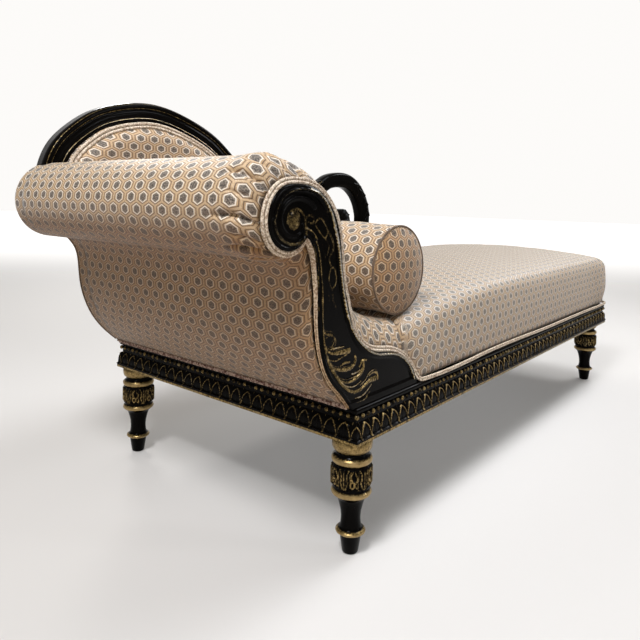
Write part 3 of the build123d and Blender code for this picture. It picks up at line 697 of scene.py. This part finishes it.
# ---- turned and carved legs
# height and radius of the turned leg; then raised strokes on one repeat of its unrolled drum
LEG = [(0, 12.5), (1, 14), (3, 15.5), (35, 20.5), (36.8, 21.5), (38.5, 24.5), (41, 28), (43, 28.8),
       (45, 28), (47.5, 24.5), (48.5, 21.5), (52, 20.3), (60, 19), (70, 18.6), (82, 19.8), (95, 23),
       (104, 26), (108, 28), (110.5, 31), (113, 34), (115.5, 37.2), (119, 38.8), (123, 37.4), (126, 34.5),
       (128, 34), (130, 34.6), (133, 35.4), (150, 35.8), (168, 35.8), (173, 34), (175, 35.5), (178, 38.2),
       (182, 39.2), (186, 38), (189, 34), (191, 31.8), (193, 30.6), (196, 31), (197.5, 32.5), (200, 35.5),
       (205, 38), (212, 38.6), (221.3, 38.4)]
LEG_CARVING = [
    ([(0, 131), (0, 150), (0, 171)], [2.5, 7.0, 1.5], 3.6, 0.45),
    ([(0, 134), (0, 166)], [1.3, 0.9], 5.0, 0.72),
    ([(-2.5, 134), (-6.5, 146), (-5, 160), (-8.5, 169)], [1.5, 2.2, 1.5], 4.2, 0.72),
    ([(2.5, 134), (6.5, 146), (5, 160), (8.5, 169)], [1.5, 2.2, 1.5], 4.2, 0.64),
    ([(15, 137), (11, 143), (15, 149), (19, 143), (15, 137)], [2.1, 2.1], 4.0, 0.8),
    ([(15, 151), (12.5, 159), (17, 168)], [2.6, 1.8], 4.0, 0.7),
    ([(11.5, 150), (9.5, 158), (12.5, 168)], [1.3, 1.2], 3.2, 0.66),
    ([(-11.5, 135), (-12, 150), (-10.8, 167)], [1.3, 1.2], 3.4, 0.66),
    ([(-14, 137), (-18, 146), (-12.5, 153), (-15.5, 161), (-18.5, 169)], [1.8, 2.6, 1.6], 4.0, 0.7),
    ([(-15, 132.5), (15, 132.5)], [1.6, 1.6], 2.4, 0.5),
    ([(-15, 170.5), (15, 170.5)], [1.4, 1.4], 2.0, 0.45),
]
DRUM_RADIUS, DRUM_REPEATS = 36, 6


def carved_leg(node, cx, cy):
    heights, radii = np.array(LEG).T
    z = np.unique(np.concatenate([heights, np.linspace(130, 172, 29)]))
    turn = full_turn(144)
    tt, zz = np.meshgrid(turn, z)
    flat = (tt * DRUM_REPEATS / (2 * np.pi) + 0.25) % 1 - 0.5
    flat = flat * (2 * np.pi * DRUM_RADIUS / DRUM_REPEATS)
    rise, gilt = carve(np.stack([flat.ravel(), zz.ravel()], 1), LEG_CARVING)
    rise, gilt = rise.reshape(zz.shape), gilt.reshape(zz.shape)
    inside = ease(zz, 129, 132) * (1 - ease(zz, 170, 173))
    radius = np.interp(z, heights, radii)[:, None] + rise * inside * 1.25 - 1.5 * inside
    ring = np.interp(z, [0, 36, 39, 47, 49, 113, 115, 125, 127, 174, 176, 188, 190, 196, 198, 221.3],
                     [0, 0, 0.96, 0.96, 0, 0, 0.98, 0.98, 0, 0, 0.99, 0.99, 0, 0, 0.95, 0.92])
    gilt = np.maximum(gilt * 1.15 * inside, ring[:, None])
    points = np.stack([cx + radius * np.cos(tt), cy + radius * np.sin(tt), zz], 2).reshape(-1, 3)
    faces = grid(len(z), len(turn), False, True) + caps(points, len(turn))
    build("turned_" + node, points, faces, CARVED, (node,), gilt=gilt.ravel())


for node, cx, cy in (("leg_head_front", -634, -346.5), ("leg_head_back", -634, 346.5),
                     ("leg_foot_front", 871.6, -325.7), ("leg_foot_back", 871.6, 325.7)):
    carved_leg(node, cx, cy)

# ---- head end outlines
OUTSIDE = from_rail((-2, 1), (-40, 34), (-77, 77), (-100, 122), (-112, 165),
                    (-117, 210), (-126, 250), (-155.7, 285.6))
INSIDE = from_rail((-88, 414), (-60, 391), (-42, 353), (-28, 303), (-16, 257),
                   (2, 219), (32, 182), (78, 158), (125, 142)) + [(SEAM_X, RAIL_TOP + 135)]
STILE = from_rail((51, -34), (13.5, 0), (-32.5, 41), (-69.9, 81.8), (-92, 125.2),
                  (-103.6, 166.6), (-108.5, 211.4), (-118.3, 253.9), (-147, 297),
                  (-191, 341), (-221, 392), (-217.4, 442.5))
LEFT_EDGE = from_rail((-1, 0), (-29, 32), (-56, 58), (-78, 90), (-92, 130),
                      (-99, 178), (-101, 224), (-106, 262), (-118, 303), (-133, 318))
RIGHT_EDGE = from_rail((-126, 400), (-100, 391), (-78, 375), (-63, 358), (-53, 340),
                       (-43, 307), (-38, 272), (-31, 233), (-16, 188), (-2, 150), (18, 123), (42.5, 104),
                       (73, 92), (126, 82), (160, 69.6), (193, 49), (212, 29), (222, 0))
VOLUTE_EDGE = [on_circle(VOLUTE, VOLUTE[2] - 0.144 * max(0, t - 215), t) for t in range(306, 60, -32)]
left = smooth(LEFT_EDGE, 60)
round_and_down = smooth([LEFT_EDGE[-1]] + VOLUTE_EDGE + RIGHT_EDGE, 220)

# ---- carved facing
SPIRAL = [(-753, 643), (-767, 662), (-787, 676), (-816, 682), (-849, 677), (-872, 660), (-881, 638),
          (-876, 617), (-859, 600), (-835, 594), (-814, 601), (-808, 621), (-814, 641), (-831, 650),
          (-848, 643), (-852, 628)]
# raised strokes, as carve() takes them, in X and Z; gilt above 1.02 is a silvery painted highlight
FACING_CARVING = [
    (SPIRAL, [1.4, 1.6, 1.8, 2.0, 2.2, 2.2, 2.0], 8.0, 0.66),
    (SPIRAL[6:], [3.0, 3.6, 3.4, 3.2, 3.0], 7.0, 0.70),
    ([(-834 + (x + 834) * 0.70, 634 + (z - 634) * 0.70) for x, z in SPIRAL[1:12]],
     [5, 7, 7.5, 7.5, 7, 6, 4.5, 3], 9.5, 0.0),
    ([(-805, 619), (-792, 611), (-779, 591), (-770, 563), (-766, 524), (-764, 482), (-760, 447),
      (-758, 424), (-750, 401), (-739, 383), (-724, 363), (-707, 344), (-686, 327), (-664, 317),
      (-647, 318), (-630, 325), (-615, 330), (-600, 329)],
     [2.4, 3.0, 3.4, 4.0, 4.6, 4.8, 4.6, 4.0, 3.8, 4.6, 7.0], 7.0, 0.84),
    ([(-790, 592), (-779, 560), (-775, 520), (-773, 480)], [1.2, 1.4, 1.2], 3.0, 0.7),
    ([(-800, 682), (-772, 672), (-752, 652), (-735, 620), (-725, 588), (-719, 555), (-712, 520),
      (-702, 484), (-690, 452), (-672, 424), (-645, 399), (-612, 380), (-590, 373), (-548, 367),
      (-517, 357), (-488, 337), (-470, 315), (-462, 300)], [1.9, 1.9], 6.5, 1.3),
    ([(-807, 636), (-797, 640), (-789, 635), (-790, 627), (-801, 629)], [3.6, 3.2, 2.4], 5.6, 0.70),
    ([(-784, 627), (-771, 635), (-759, 624), (-752, 613), (-756, 602), (-771, 610), (-783, 622)],
     [2.6, 2.4, 2.2], 5.2, 0.74),
    ([(-774, 622), (-762, 609)], [3.4, 2.0], 4.8, 0.2),
    ([(-751, 613), (-738, 597), (-734, 584), (-745, 566), (-741, 552)], [3.2, 3.8, 2.4], 5.2, 0.72),
    ([(-758, 600), (-748, 588), (-752, 572)], [2.6, 3.0, 1.8], 4.8, 0.62),
    ([(-765, 590), (-757, 570), (-754, 548)], [2.2, 2.6, 1.4], 4.2, 0.58),
    ([(-742, 546), (-735, 550), (-727, 538), (-725, 526), (-735, 514), (-745, 529), (-742, 546)],
     [2.4, 2.4], 5.2, 0.74),
    ([(-736, 538), (-735, 522)], [3.4, 2.2], 4.6, 0.15),
    ([(-736, 513), (-733, 495), (-721, 475)], [3.2, 3.4, 1.2], 4.6, 0.66),
    ([(-746, 512), (-744, 494), (-736, 478)], [2.0, 2.4, 1.0], 3.8, 0.58),
    ([(-760, 446), (-750, 437), (-737, 434), (-726, 424), (-733, 414)], [1.6, 3.2, 2.6, 2.0], 5.6, 0.76),
    ([(-752, 430), (-733, 431), (-723, 422), (-725, 413), (-741, 414)], [1.4, 2.4, 1.6], 4.6, 0.72),
    ([(-757, 424), (-746, 408), (-730, 400), (-706, 398), (-684, 397)],
     [1.2, 2.4, 3.4, 5.4, 6.6], 6.6, 0.92),
    ([(-738, 409), (-716, 408), (-700, 407)], [1.2, 1.8, 1.2], 6.0, 1.08),
    ([(-742, 392), (-722, 386), (-704, 389), (-690, 391)], [1.2, 1.9, 1.4], 5.6, 0.9),
    ([(-744, 394), (-732, 377), (-712, 368), (-688, 364), (-671, 367), (-663, 377), (-666, 384)],
     [1.2, 2.6, 3.4, 4.4, 4.8, 4.4, 3.0], 6.6, 0.9),
    ([(-708, 375), (-694, 377), (-682, 376)], [1.6, 3.0, 2.6], 6.0, 0.85),
    ([(-728, 369), (-712, 350), (-690, 341), (-666, 341), (-649, 348), (-638, 360), (-640, 368)],
     [1.2, 2.2, 2.8, 3.0, 4.6, 6.6, 3.6], 6.8, 0.86),
    ([(-676, 353), (-660, 353), (-650, 356)], [1.1, 1.3, 0.9], 6.6, 1.2),
    ([(-676, 346), (-660, 346), (-648, 349)], [1.1, 1.3, 0.9], 6.2, 1.1),
    ([(-652, 362), (-642, 371), (-630, 370)], [2.2, 3.2, 2.2], 6.8, 0.95),
    ([(-706, 344), (-684, 332), (-664, 329), (-646, 334)], [1.0, 1.5, 1.3, 0.9], 6.4, 1.12),
    ([(-622, 338), (-606, 342), (-594, 337), (-592, 326)], [1.6, 2.4, 3.2, 2.0], 6.6, 0.95),
    ([(-648, 327), (-632, 334), (-619, 344), (-608, 346)], [1.0, 1.3, 1.2, 0.9], 6.2, 1.12),
    ([(-663, 306), (-643, 305), (-626, 311), (-612, 320)], [1.0, 1.6, 1.2], 5.4, 1.1),
    ([(-662, 298), (-644, 298), (-628, 302), (-616, 308)], [1.0, 1.5, 1.0], 4.4, 0.9),
]


# each broad leaf stroke also lies on a wider, darker body and carries a thin bright vein
LEAVES = [stroke for stroke in FACING_CARVING
          if stroke[0][0][1] < 447 and len(stroke[0]) > 3 and max(stroke[1]) > 3]


def shifted(path, left, up, more):
    return [(x - left, z + up + more * k / len(path)) for k, (x, z) in enumerate(path)]


BODIES = [(shifted(path, 2, 3.5, 2.5), [w * 1.75 for w in widths], rise * 0.62, 0.22)
          for path, widths, rise, _ in LEAVES]
VEINS = [(shifted(path, 1, 5, 2), [1.0, 1.2, 0.7], rise * 0.9, 0.78) for path, _, rise, _ in LEAVES]


def facing_height(points, edge):
    x, z = points.T
    height, gilt = carve(points, BODIES + VEINS + FACING_CARVING)
    middle = np.interp(z, [287, 330, 380, 430, 480, 530, 590, 640],
                       [-580, -640, -690, -722, -737, -741, -760, -900])
    half = 3.2 + 2.6 * ease(x, middle - 8, middle + 8)  # the raised rim is wider on the right
    rim = 2.8 * np.sqrt(np.clip(1 - ((edge - half) / half) ** 2, 0, 1)) * (z > RAIL_TOP + 9)
    plinth = 3.5 * (1 - ease(z, RAIL_TOP + 13, RAIL_TOP + 16))
    volute = lengths(points - VOLUTE[:2])
    ground = -5.0 * ease(edge, 2 * half - 1, 2 * half + 4) - 3.0 * ease(-volute, -50, -30)
    eye = 1 - ((x - VOLUTE[0]) / 15.5) ** 2 - ((z - 633) / 17.5) ** 2
    height = np.maximum(height + ground, np.where(eye > 0, -2.5 + 4 * np.sqrt(np.clip(eye, 0, 1)), -9))
    gilt = np.maximum(gilt, 0.76 * ease(eye, -0.04, 0.06))
    # gilt above 1.02, the silvery painted highlight, is kept as it is
    gilt = np.where(gilt < 1.02, gilt * 0.9, gilt)
    return np.maximum(np.maximum(height, rim), plinth), {"gilt": gilt}


facing_outline = np.vstack([left, round_and_down[1:]])
relief("carved_facing", facing_outline, FACING_Y, BOARD_Y, facing_height, CARVED, 1.5,
       replaces=("front_scroll_facing", "front_scroll_eye"))

# ---- head cover
# The cover runs from the full outline of the head (big), over the border, to the facing's (small).
# Both have the same number of points on the outside, over the roll and down the inside.
OUTER, OVER, INNER = 110, 130, 160
roll_angle = math.degrees(math.atan2(OUTSIDE[-1][1] - ROLL[1], OUTSIDE[-1][0] - ROLL[0])) % 360
roll_arc = [on_circle(ROLL, ROLL[2], a) for a in np.linspace(roll_angle, 90, 60)]
big = np.vstack([smooth(OUTSIDE, OUTER), evenly(roll_arc, OVER + 1)[1:],
                 smooth([roll_arc[-1]] + INSIDE, INNER + 1)[1:]])
seam_at = int(np.argmax(round_and_down[:, 0] > SEAM_X))
top_at = int(round_and_down[:, 1].argmax())
small = np.vstack([evenly(left, OUTER), evenly(round_and_down[:top_at + 1], OVER + 1)[1:],
                   evenly(round_and_down[top_at:seam_at + 1], INNER + 1)[1:]])
column = np.arange(len(big))
margin = np.interp(column, [0, 80, 120], [4.0, 4.6, 8.0])[:, None]
small = small - normals_right(small) * margin
behind = small + normals_right(small) * (16.0 + margin)
stretch = np.interp(column[1:] - 1, [0, 30, 60], [0.82, 0.92, 1])
arc = np.r_[0, np.cumsum(lengths(np.diff(big, axis=0)) * stretch)]
# pleats round the volute: direction from the roll's axis, depth
PLEATS = [(math.radians(turn), depth) for turn, depth in (
    (33, 0.6), (55, 0.35), (76, 1.0), (96, 0.4), (116, 0.55), (140, 1.0), (162, 0.45), (188, 1.15),
    (207, 0.5), (226, 1.0), (246, 0.6))]
BACK_Y, BORDER_Y, BORDER = 333.0, -322.0, 38  # the cover's two ends, and the depth of its border
around = np.arctan2(big[:, 1] - ROLL[1], big[:, 0] - ROLL[0]) % (2 * np.pi)
on_roll = (column >= OUTER - 6) & (column < OUTER + OVER + 60)
# painted shade: the outside darker, most at its top under the roll, and the roll's underside dark, fading
# out round its front
tone = np.where(column < OUTER, 0.62 + 0.38 * ease(column, OUTER - 30, OUTER),
                np.where(column < OUTER + OVER, 1 - ease(-around, -3.93, -3.30), 0))
out = -normals_right(big)
rows = []
for y in list(np.arange(BACK_Y, BORDER_Y, -14.0)) + [
        BORDER_Y - BORDER * math.sin(math.radians(a)) for a in range(0, 91, 9)]:
    share = 0 if y > BORDER_Y else 1 - math.sqrt(max(0, 1 - ((BORDER_Y - y) / BORDER) ** 2))
    crease = 0
    for a, depth in PLEATS:
        off = np.abs(around - a - 0.02 * math.sin(y / 19 + 9 * a)) / (0.03 + 0.02 * depth)
        crease = crease + np.exp(-off ** 1.3) * depth * ease(-y, 345 - 62 * depth, 345)
    puff = np.where(on_roll, (4.0 * ease(-y, 265, 335) - 13 * crease) * (1 - 0.3 * share), 0)
    rows.append(upright(big + (small - big) * share + out * puff[:, None], y))
rows.append(upright(behind, -352.0))
far = np.cumsum([np.zeros(len(big))] + [lengths(q - p) for p, q in zip(rows, rows[1:])], axis=0)
weave = [np.stack([BACK_Y - 1.18 * f + f**2 / 12000, 1.12 * arc, 0 * f], 1) for f in far]
# three more points lead each row back to its start, under the seat
tail = np.array([[SEAM_X, RAIL_TOP + 3], [HEAD_X + 30, RAIL_TOP + 3], [HEAD_X + 2, RAIL_TOP + 1]])
rows = [np.vstack([row, upright(tail, row[0, 1])]) for row in rows]
weave = [np.vstack([w, np.repeat(w[-1:], 3, 0)]) for w in weave]
wide = len(rows[0])
faces = grid(len(rows), wide, False, True) + [list(range(wide))]
head = build("head_upholstery", np.concatenate(rows), faces, HEX,
             ("head_inside_pad", "head_front_border"), weave=np.concatenate(weave) * MM,
             tone=np.tile(np.r_[tone, 0, 0, 0], len(rows)))

# the far end of the roll and of the outside, wrapped past the back's stile
last = OUTER + int(OVER * 0.885)
edge = big[:last]
stile_edge = smooth(STILE, 160)[::-1]
stile_edge = stile_edge[(stile_edge[:, 1] > RAIL_TOP + 1) & (stile_edge[:, 1] < edge[-1, 1] - 2)]
soft = np.clip((np.arange(last) - OUTER + 8) / 16, 0.12, 1)
rows, weave = [], []
for y, step in ((333, 0), (342, 0), (352, 0), (362, 0), (367, 0.6), (371, 2.2), (373.5, 4.5), (375, 8)):
    line = edge - out[:last] * (step * soft)[:, None]
    rows.append(upright(line, y - 3 * (1 - soft)))
    weave.append(np.stack([0 * soft + BACK_Y + 1.18 * (y - BACK_Y), 1.12 * arc[:last], 0 * soft], 1))
cap = upright(stile_edge, 366.0)
points, uv = np.vstack(rows + [cap]), np.vstack(weave + [cap[:, [0, 2, 1]] * (1, 1, 0)])
closing = list(range((len(rows) - 1) * last, len(points)))
# the far end carries the same painted shade as the cover
end = build("head_far_end", points, grid(len(rows), last) + [closing], HEX,
            ("head_end_pad", "head_outside_panel"), weave=uv * MM,
            tone=np.r_[np.tile(tone[:last], len(rows)), np.zeros(len(cap))])
tubes("head_far_cord", [upright(big[6:OUTER], 366.5)], 2.4, CORD)

# double welts round the facing
for name, off, narrow, y in (("facing_welt_inner", 2.8, 0.5, -369.0),
                             ("facing_welt_outer", 8.6, 0.47, -367.0)):
    swell = np.interp(np.arange(len(facing_outline)), [0, 45, 75], [narrow * 0.9, narrow, 1])
    loop = facing_outline - normals_right(facing_outline) * (off * swell)[:, None]
    loop = smooth(evenly(loop, 100), 460)
    loop = loop[loop[:, 1] > RAIL_TOP + 2.0]
    thick = 3.0 * np.interp(np.arange(len(loop)), [0, 70, 115], [0.42, 0.48, 1])
    # painted shade on the welts, strongest where the loop starts low on the left edge, fading out along
    # it
    shade = np.interp(np.arange(len(loop)), [0, 60, 80, 150, 190], [0.9, 0.7, 0.45, 0.3, 0])
    tubes(name, [upright(loop, y)], thick, WELT, tone=np.repeat(shade, TUBE_SIDES))
for name, places, thick, material in (("head_base_welt", ((7.5, 3.2), (12.7, 8.2)), 3.0, CORD_PALE),
                                      ("head_base_seam", ((15.4, 12.6),), 1.7, CORD)):
    tubes(name, [[(HEAD_X - off, y, RAIL_TOP + up) for y in np.linspace(362, -366, 60)]
                 for off, up in places], thick, material)

# ---- seat
seat = build("seat_cushion", *remeshed("seat_pad", 11.0, 2.0, 12), HEX_SEAT, ("seat_pad",))
plump(seat, 5.0)
# fuller corners and foot end, and a slight swell just over the welts; these lengths are metres
p = coordinates(seat.data)
corner_share = ease(p[:, 0], 0.70, 0.93) * ease(np.abs(p[:, 1]), 0.20, 0.36) * ease(p[:, 2], 0.29, 0.36)
p[:, 1] += np.sign(p[:, 1]) * 0.007 * corner_share
p[:, 0] += 0.005 * corner_share + 0.006 * ease(p[:, 0], 0.90, 0.93) * ease(p[:, 2], 0.29, 0.35)
low = 0.007 * ease(0.312 - p[:, 2], 0, 0.022)
p[:, 1] += np.sign(p[:, 1]) * low * ease(np.abs(p[:, 1]), 0.33, 0.36)
p[:, 0] += low * ease(p[:, 0], 0.88, 0.91)
seat.data.vertices.foreach_set("co", p.astype(np.float32).ravel())
# the pattern lies flat on top and runs down the sides
normal = read(seat.data, "normal")
drop = np.clip(0.452 - p[:, 2], 0, None)
end = np.abs(normal[:, 0]) > np.abs(normal[:, 1]) * 1.2
weave = np.stack([1.1 * (p[:, 0] + np.where(end, drop, 0)),
                  1.06 * (p[:, 1] + np.where(end, 0, np.sign(p[:, 1]) * drop)), 0 * drop], 1)
attribute(seat.data, "weave", weave)
# painted shade: the top darkened and greyed by the seat cloth's shade colour, the sides less
attribute(seat.data, "tone", 0.35 + 0.65 * ease(normal[:, 2], 0.3, 0.9))
surface = seat.modifiers.new("smooth_surface", "SUBSURF")
surface.levels = surface.render_levels = 1
# two welts from the facing's toe round the foot end; Z is over the rail
side = [(-460, -369, 30), (-452, -371, 15), (-443, -375, 4), (-425, -378, 0), (-200, -379.5, 0),
        (300, -380, 0), (700, -380.5, 0), (904, -380.5, 0), (921, -378, 0), (933, -371, 0),
        (940, -360, 0), (942.5, -345, 0)]
loop = smooth(side + [(943, -150, 0), (943, 150, 0)] + [(x, -y, 0) for x, y, _ in reversed(side[7:])]
              + [(120, 379, 0)], 600)
loop[:, 2] = np.maximum(loop[:, 2], 0)
for name, up, lean in (("seat_welt_lower", 2.4, 0), ("seat_welt_upper", 6.6, 4.5)):
    raised = loop + (0, 0, RAIL_TOP + up)
    raised[:, 0] += lean * ease(loop[:, 2], 0, 8)
    tubes(name, [raised], 2.4, WELT)

# ---- bolster
middle, radius, front, back, wider = (-468.0, 521.3), 93.0, -335.0, 285.0, 1.045
turn = full_turn(96)
# rings: Y, radius, crown; the round ends bulge by up to 18 mm
ends = [(r, 19 * (1 - (r / radius) ** 2.6) - 1.0) for r in (91.5, 88, 83, 75, 63, 48, 32, 16, 4)]
rings = [(front - bulge, r, 0) for r, bulge in reversed(ends)]
for y in np.linspace(front, back, 45):
    crown = 6.5 * math.sin((y - front) / (back - front) * math.pi) ** 0.7
    rings.append((y, radius - 1.5 + 0.6 * math.sin(y * 0.05), crown))
rings += [(back + bulge, r, 0) for r, bulge in ends]
points, weave, tone = [], [], []
for y, r, crown in rings:
    at_end = y < front or y > back
    ripple = 1 + 0.006 * np.sin(turn * 9 + y * 0.02) * (r > 60)
    x, z = middle[0] + wider * r * ripple * np.cos(turn), middle[1] + r * ripple * np.sin(turn)
    z = z + crown * np.clip(np.sin(turn), 0, 1)
    points.append(np.stack([x, 0 * x + y, z], 1))
    weave.append(np.stack([x * 1.25, z * 1.08, 0 * x] if at_end else
                          [0 * x + y * 1.2, turn * radius * 1.08, 0 * x], 1))
    # painted shade: the round ends darker, the body only a little
    tone += [0.7 if at_end else 0.1] * len(turn)
points = np.concatenate(points)
faces = grid(len(rings), len(turn), False, True) + caps(points, len(turn))
bolster = build("bolster_cushion", points, faces, HEX, ("bolster",), "bolster",
                weave=np.concatenate(weave) * MM, tone=tone)
circle = np.stack([np.cos(full_turn(120)), np.sin(full_turn(120))], 1)
tubes("bolster_cord", [upright(circle * (radius - 1) * (wider, 1) + middle, y) for y in (front, back)],
      2.0, CORD, True, body="bolster")

# ---- back frame
CREST = from_rail((-193, 497), (-150, 541), (-99, 576), (-18, 604),
                  (67, 613.5), (190, 588), (295, 539), (343, 502), (395, 463),
                  (455, 430), (520, 409), (583, 400), (642, 401), (700, 412))
SCROLL_START, SCROLL_SIZE = 127, 183  # where the crest runs into the scroll, in degrees, and its radius
CREST.append(on_circle(SCROLL, SCROLL_SIZE, SCROLL_START))


def scroll_radius(turn):
    past = max(0.0, 10 - turn) / 190
    swell = 6 * math.exp(-((turn - 5) / 45) ** 2) - 5 * math.exp(-((turn - 95) / 22) ** 2)
    return SCROLL_SIZE - 3 * (SCROLL_START - turn) / 117 - 86 * past ** 1.3 + swell


SCROLL_CURVE = [on_circle(SCROLL, scroll_radius(t), t) for t in range(SCROLL_START, -182, -14)]
# section of the mouldings: in from the outer edge, Y, gilt; gilt above 1.02 is a silvery painted
# highlight
MOULDING = [(0.0, 371.5, 0), (0.0, 341, 0), (1.5, 335.5, 0.2), (3.2, 333, 0.8), (4.6, 331.4, 0.2),
            (9, 330, 0), (12.5, 331.5, 0.1), (13.5, 334.8, 0.5), (14.6, 334.2, 0.86), (15.8, 335.2, 0.3),
            (18, 337, 0), (22, 334.2, 0), (27, 332.8, 0), (32, 334.0, 0), (36.6, 337.2, 0),
            (37.6, 335.4, 0.5), (38.6, 334.4, 1.2), (39.6, 334.4, 0.2), (43, 331.5, 0.1), (46, 332.4, 0),
            (48, 336, 0), (48, 371.5, 0)]
ROUNDED = [(1.5, 369, 0), (0.2, 362, 0), (0.0, 352, 0), (0.2, 343, 0), (2, 337.5, 0.1), (5, 334.2, 0.15)]
ROUNDED += [(d, 332.6 - 1.6 * math.sin((d - 7) / 34 * math.pi), 0) for d in np.linspace(7, 41, 18)]
ROUNDED += [(43, 334.2, 0.15), (46, 337.5, 0.1), (47.8, 343, 0), (48, 352, 0), (47.8, 362, 0),
            (46.5, 369, 0), (40, 371.5, 0), (24, 371.5, 0), (8, 371.5, 0)]


def moulded(name, path, widths, profile, replaces, carving=()):
    """A moulding swept beside a curve, with widths spread along it."""
    inward, depth, gilt = np.array(profile, float).T
    s = travelled(path)
    width = np.interp(s, np.linspace(0, s[-1], len(widths)), widths) / inward.max()
    d = inward * width[:, None]
    x, z = (path[:, k, None] + normals_right(path)[:, k, None] * d for k in (0, 1))
    rise, gold = carve(np.stack([np.repeat(s, len(inward)), d.ravel()], 1), carving)
    on_face = depth < 345
    y = depth - rise.reshape(d.shape) * on_face
    gilt = np.maximum(gilt, gold.reshape(d.shape) * on_face)
    points = np.stack([x, y, z], 2).reshape(-1, 3)
    faces = grid(len(path), len(inward), False, True) + caps(points, len(inward))
    build(name, points, faces, CARVED, replaces, gilt=gilt.ravel())


back_line = smooth(STILE + CREST, 380)
meeting = int(np.argmin(lengths(back_line - STILE[-1])))
crest_path = back_line[meeting:]
stile_path = back_line[:meeting + 1]
stile_path = stile_path[stile_path[:, 1] > RAIL_TOP - 10]
stile_path[:, 1] = np.maximum(stile_path[:, 1], RAIL_TOP)
STILE_WIDTHS, CREST_WIDTHS = (52, 48), (48, 50)
moulded("moulded_head_stile", stile_path, STILE_WIDTHS, MOULDING, ("back_head_stile",))
moulded("moulded_crest", crest_path, CREST_WIDTHS, MOULDING, ("back_crest_rail",))
leaf = [([(0, 24), (22, 18), (44, 9)], [2.5, 5.5, 2.2], 3.6, 0.4),
        ([(4, 25), (26, 32), (46, 41)], [2.5, 5.5, 2.2], 3.6, 0.4),
        ([(-2, 25), (40, 25)], [3.2, 1.6], 4.4, 0.3)]
leaves = [([(205 + 44 * k + s, across) for s, across in path], *stroke)
          for k in range(7) for path, *stroke in leaf]
moulded("carved_end_scroll", smooth(SCROLL_CURVE, 300), (50, 55, 61, 58, 50, 46), ROUNDED,
        ("back_end_scroll",), leaves)


def rosette_height(points, edge):
    """Ten petals and a button on a shallow dome."""
    off = points - SCROLL
    petals = []
    for turn in range(0, 360, 36):
        bend = turn + math.degrees(0.22)
        petals.append(([on_circle((0, 0), *at) for at in ((6, turn), (24, bend), (45, turn))],
                       [2, 6.5, 3], 6.0, 0.3))
    rise, gilt = carve(off, petals + [([(0, 0), (0.5, 0)], [9, 9], 9.0, 0.5, 3)])
    return rise + 12 * np.clip(1 - (lengths(off) / 52) ** 2, 0, 1), {"gilt": gilt}


relief("carved_rosette", circle * 47 + SCROLL, 329.5, 367.5, rosette_height, CARVED, 2.2,
       replaces=("back_rosette",))

# ---- back pads
def inside_of(path, widths):
    return path + normals_right(path) * np.linspace(*widths, len(path))[:, None]


POST_X = 49  # the end post's near face
inner_stile, inner_crest = inside_of(stile_path, STILE_WIDTHS), inside_of(crest_path, CREST_WIDTHS)
inner = np.vstack([inner_stile[:-6], inner_crest[2:]])
inner = inner[inner[:, 0] < POST_X]
bottom = RAIL_TOP + 2
opening = np.vstack([inner, [(POST_X, inner[-1, 1]), (POST_X, bottom), (inner[0, 0], bottom)]])


def inside_height(points, edge):
    """A crowned pad inside a flat margin."""
    margin, soft = 16, 30
    rise = 24 * np.sqrt(np.clip(1 - (1 - np.clip((edge - margin) / soft, 0, 1)) ** 2, 0, 1))
    rise = rise + 3 * np.clip(edge / 160, 0, 1)
    weave = np.stack([points[:, 0], 1.1 * points[:, 1], 0 * rise], 1) * MM
    # painted shade, light and even over the pad
    return rise, {"weave": weave, "tone": 0 * rise + 0.15}


def outside_height(points, edge):
    """Cloth pulled flat, a little hollow."""
    return -2.5 * np.clip(edge / 20, 0, 1), {"weave": upright(points, 0)[:, [0, 2, 1]] * MM}


front_pad = relief("back_cushion", opening, 331.0, 350.0, inside_height, HEX, 6.0,
                   replaces=("back_inside_pad",))
rear_pad = relief("back_outside_cover", opening, 368.5, 363.0, outside_height, HEX_SHADE, 9.0,
                  replaces=("back_outside_panel",))
for name, off, y in (("back_welt_outer", 4.4, 327.0), ("back_welt_inner", 13.2, 325.0)):
    line = inner_crest + normals_right(inner_crest) * off
    line = line[line[:, 0] < 46]
    low = inner_stile + normals_right(inner_stile) * off
    line = smooth(evenly(np.vstack([low[:-8], line[4:]]), 70), 300)
    tubes(name, [upright(line, y)], 4.1, WELT)
